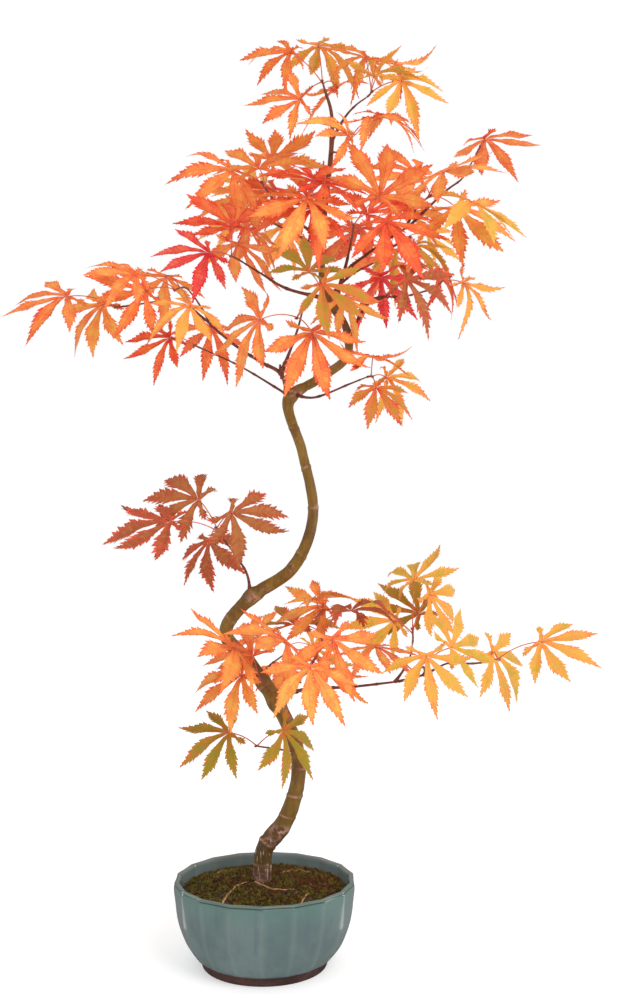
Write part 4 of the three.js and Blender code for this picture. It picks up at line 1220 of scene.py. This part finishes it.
def tuft(name, height, seed):
    """A tuft of moss: narrow leaflets that lean out from one point, in millimetres."""
    points, faces = [], []
    drawn = draws_of(seed, 3 * LEAFLETS)
    for k in range(LEAFLETS):
        turn = TURN * (k + drawn[k]) / LEAFLETS
        lean, tall = 0.25 + 0.9 * drawn[LEAFLETS + k], height * (0.6 + 0.6 * drawn[2 * LEAFLETS + k])
        out = np.array((math.cos(turn), math.sin(turn), 0))
        side = np.array((-math.sin(turn), math.cos(turn), 0)) * 0.2
        way = unit(out * lean + np.array((0, 0, 1)))
        middle, tip = way * tall * 0.55, way * tall + out * lean * 0.35 * tall
        first = len(points)
        points += [-side * 0.6, side * 0.6, middle + side, middle - side, tip + side * 0.1, tip - side * 0.1]
        faces += [(first, first + 1, first + 2, first + 3), (first + 3, first + 2, first + 4, first + 5)]
    return new_mesh(name, points, faces)


# Bare rootlets on the soil: places in the plane, in millimetres.
ROOTLETS = [
    [(-33, -48), (-30, -30), (-25, -12), (-19, -6), (-14, -4)],
    [(-9, -5), (-2, -12), (5, -20), (12, -22), (18, -22), (27, -17)],
    [(31, -46), (33, -38), (35, -30), (39, -22)],
    [(-44, 30), (-38, 38), (-30, 42), (-24, 41)],
    [(14, 30), (26, 38), (40, 36)],
]
ROOT_POINTS = 26
ROOT_SIDES = 8

# Kinds of moss: name, height of a tuft in millimetres and its two colours.
MOSSES = [("moss", 2.2, ((92, 86, 10), (136, 122, 30))), ("moss_brown", 1.8, ((86, 54, 10), (122, 84, 24))),
          ("moss_red", 1.5, ((102, 40, 12), (132, 60, 22)))]
SHAPES = 4  # different tufts of each moss, and different scraps
MOSS_SIZES, LITTER_SIZES = (0.7, 1.4), (0.5, 1.3)
MOSS_APART, LITTER_APART = 0.0009, 0.003  # least distance between two, in metres


SOIL_LEVELS = ((0, 13, 24, 40, 60, 72), (69.6, 69.4, 68, 66.6, 63.6, 61.6))  # radii and heights
SOIL_RINGS, SOIL_AROUND = 66, 150
SOIL_REACH = 70.0
SOIL_DEEP = 12.0
CLODS = 14  # waves that make the soil uneven


def soil_height(x, y):
    """The soil's level at places in the plane."""
    level = np.interp(np.hypot(x, y), *SOIL_LEVELS)
    for k in range(CLODS):
        a, b, c = draws_of(900 + k, 3)
        pitch = 0.08 + 0.75 * a * a
        across = x * math.cos(TURN * b) + y * math.sin(TURN * b)
        level = level + 0.34 / (1 + 2.2 * pitch) * np.sin(pitch * across + TURN * c)
    return level


def soil_mesh():
    """The bare soil, with where each moss and the litter lie on it."""
    r = np.linspace(0.5, SOIL_REACH, SOIL_RINGS)[:, None]
    turn = np.arange(SOIL_AROUND)[None, :] * 2 * math.pi / SOIL_AROUND
    x, y = r * np.cos(turn), r * np.sin(turn)
    top = np.stack([x, y, soil_height(x, y)], -1)
    points = np.vstack([top, top[-1:] - np.array((0, 0, SOIL_DEEP))]).reshape(-1, 3)
    faces = grid_faces(SOIL_RINGS + 1, SOIL_AROUND, closed=True)[:, ::-1]
    paint = ground_material("soil", (44, 28, 10), (72, 48, 20), 160)
    ground = new_mesh("soil_ground", points, faces, [paint])
    x, y = points[:, 0], points[:, 1]
    patch = 0.5 + 0.6 * np.sin(x * 0.09 + 1.3) * np.cos(y * 0.1 - 0.4) + 0.4 * np.sin(x * 0.3 - y * 0.27)
    patch = patch - x / 150
    clear = (np.hypot(x + 2, y) > 9) & (np.hypot(x, y) < 69)
    clear[-SOIL_AROUND:] = False
    cover = {"moss": 0.3 + patch - y / 160, "moss_brown": 1.1 - patch, "moss_red": 0.8 - patch,
             "litter": 0.3 + patch}
    give_values(ground, {name: np.clip(values, 0, 1) * clear for name, values in cover.items()})
    return ground


def root_paths():
    """The rootlets' paths on the soil, with both ends sunk in, and their radii."""
    roots = []
    for way in ROOTLETS:
        flat = rounded(way, ROOT_POINTS)
        path = np.column_stack([flat, soil_height(flat[:, 0], flat[:, 1]) + 0.5])
        path[(0, -1), 2] -= 1.6
        roots.append((path, np.linspace(0.85, 0.45, ROOT_POINTS)))
    return roots


class MAPLE_OT_soil(bpy.types.Operator):
    """Makes the soil with its moss, scraps and rootlets"""
    bl_idname = "maple.soil"
    bl_label = "Soil and moss"

    def execute(self, context):
        soil = context.scene.maple_soil
        ground = soil_mesh()
        made = [ground]
        for number, (name, tall, colours) in enumerate(MOSSES):
            tufts = [tuft(f"{name}_{k}", tall, 50 + 10 * number + k) for k in range(SHAPES)]
            made.append(scatter(name, ground, tufts, ground_material(name + "_paint", *colours, 420),
                                soil.moss, MOSS_SIZES, soil.seed + number, MOSS_APART))
        chips = [scrap(f"chip_{k}", (1.2 + 0.7 * k, 0.7 + 0.2 * k, 0.4), 90 + k) for k in range(SHAPES)]
        chip_paint = ground_material("litter", (150, 84, 44), (92, 46, 22), 120)
        made.append(scatter("litter", ground, chips, chip_paint,
                            soil.litter, LITTER_SIZES, soil.seed + 7, LITTER_APART))
        root_paint = ground_material("root", (216, 164, 120), (178, 126, 88), 260, 0.7)
        made.append(tubes("rootlets", root_paths(), root_paint, ROOT_SIDES))
        for thing in made:
            ride(thing, "soil", "soil")
        return {"FINISHED"}


# -------- studio
FLOOR_REACH = 4000
FLOOR_SHADE, FLOOR_GLOW = 0.8, 0.42
MIDDLE = (0.03, 0, 0.4)
# Lamps, in metres: name, place, size, share of the key light, whether it shows in gloss alone, and its aim.
LAMPS = [
    ("key", (0.9, -1.3, 1.5), (1.0, 1.0), 1, False, MIDDLE),
    ("left_rim", (-1.35, 0.72, 0.5), (0.12, 1.2), 0.4, True, MIDDLE),
    ("right_rim", (1.45, 0.6, 0.5), (0.2, 1.2), 0.4, True, MIDDLE),
    ("left_card", (-0.21, 0.056, 0.001), (0.034, 0.2), 0.0012, True, (-0.219, 0.06, 1)),
    ("right_card", (0.212, 0.043, 0.001), (0.04, 0.2), 0.0016, True, (0.2215, 0.0462, 1)),
]


def soft_light(power, name, place, size, share, gloss_alone, aim):
    """A rectangular lamp that looks at aim."""
    lamp = bpy.data.lights.new(name, "AREA")
    lamp.shape = "RECTANGLE"
    lamp.size, lamp.size_y = size
    lamp.energy = power * share
    thing = add_object(name, lamp)
    thing.location = place
    thing.visible_diffuse = thing.visible_camera = not gloss_alone
    away = np.array(place) - np.array(aim)
    flat = math.hypot(away[0], away[1])
    thing.rotation_euler = (math.atan2(flat, away[2]), 0, math.atan2(away[0], -away[1]))


def room_light(fill, glint):
    """A white world, dimmer all round and in gloss than where the camera sees it."""
    world = bpy.data.worlds.new("studio")
    world.use_nodes = True
    nodes, links = world.node_tree.nodes, world.node_tree.links
    nodes.clear()
    path, shown = nodes.new("ShaderNodeLightPath"), None
    for strength, ray in ((fill, None), (glint, "Is Glossy Ray"), (1.0, "Is Camera Ray")):
        light = nodes.new("ShaderNodeBackground")
        light.inputs[0].default_value = (1, 1, 1, 1)
        light.inputs[1].default_value = strength
        if ray:
            mix = nodes.new("ShaderNodeMixShader")
            links.new(path.outputs[ray], mix.inputs[0])
            links.new(shown, mix.inputs[1])
            links.new(light.outputs[0], mix.inputs[2])
            light = mix
        shown = light.outputs[0]
    links.new(shown, nodes.new("ShaderNodeOutputWorld").inputs[0])
    return world


class MAPLE_OT_studio(bpy.types.Operator):
    """Makes the floor, the soft lights and the camera"""
    bl_idname = "maple.studio"
    bl_label = "Studio"

    def execute(self, context):
        studio, scene = context.scene.maple_studio, context.scene
        corners = [(x * FLOOR_REACH, y * FLOOR_REACH, 0) for x, y in ((-1, -1), (1, -1), (1, 1), (-1, 1))]
        new_mesh("floor", corners, [(0, 1, 2, 3)], [floor_material(FLOOR_SHADE, FLOOR_GLOW)])
        scene.world = room_light(studio.fill, studio.glint)
        for lamp in LAMPS:
            soft_light(studio.key, *lamp)
        camera = bpy.data.cameras.new("camera")
        camera.lens = studio.lens
        camera.sensor_width = 36
        camera.clip_start = 0.01
        thing = add_object("camera", camera)
        thing.location = (studio.aside, -studio.distance, studio.height)
        thing.rotation_euler = (math.radians(90), 0, 0)
        scene.camera = thing
        scene.view_settings.view_transform = "Standard"
        return {"FINISHED"}


class MAPLE_PT_panel(bpy.types.Panel):
    """Lists the maple's pieces and their sizes"""
    bl_idname = "MAPLE_PT_panel"
    bl_label = "Potted Maple"
    bl_space_type = "VIEW_3D"
    bl_region_type = "UI"
    bl_category = "Potted Maple"

    def draw(self, context):
        for group, operator in PIECES:
            box = self.layout.box()
            box.operator(operator)
            settings = getattr(context.scene, group)
            for name in settings.__class__.__annotations__:
                box.prop(settings, name)


# The operators in the order that they run, each with the group that holds its sizes.
PIECES = [
    ("maple_wood", "maple.wood"), ("maple_leaves", "maple.twigs"), ("maple_leaves", "maple.leaves"),
    ("maple_pot", "maple.pot"), ("maple_soil", "maple.soil"), ("maple_studio", "maple.studio"),
]
GROUPS = {
    "maple_wood": MapleWood, "maple_leaves": MapleLeaves, "maple_pot": MaplePot,
    "maple_soil": MapleSoil, "maple_studio": MapleStudio,
}
CLASSES = [
    *GROUPS.values(), MAPLE_OT_wood, MAPLE_OT_twigs, MAPLE_OT_leaves, MAPLE_OT_pot, MAPLE_OT_soil,
    MAPLE_OT_studio, MAPLE_PT_panel,
]


def register():
    for cls in CLASSES:
        bpy.utils.register_class(cls)
    for name, cls in GROUPS.items():
        setattr(bpy.types.Scene, name, bpy.props.PointerProperty(type=cls))


def unregister():
    for name in GROUPS:
        delattr(bpy.types.Scene, name)
    for cls in reversed(CLASSES):
        bpy.utils.unregister_class(cls)


def main():
    register()
    for _, operator in PIECES:
        family, verb = operator.split(".")
        getattr(getattr(bpy.ops, family), verb)()


if __name__ == "__main__":
    main()
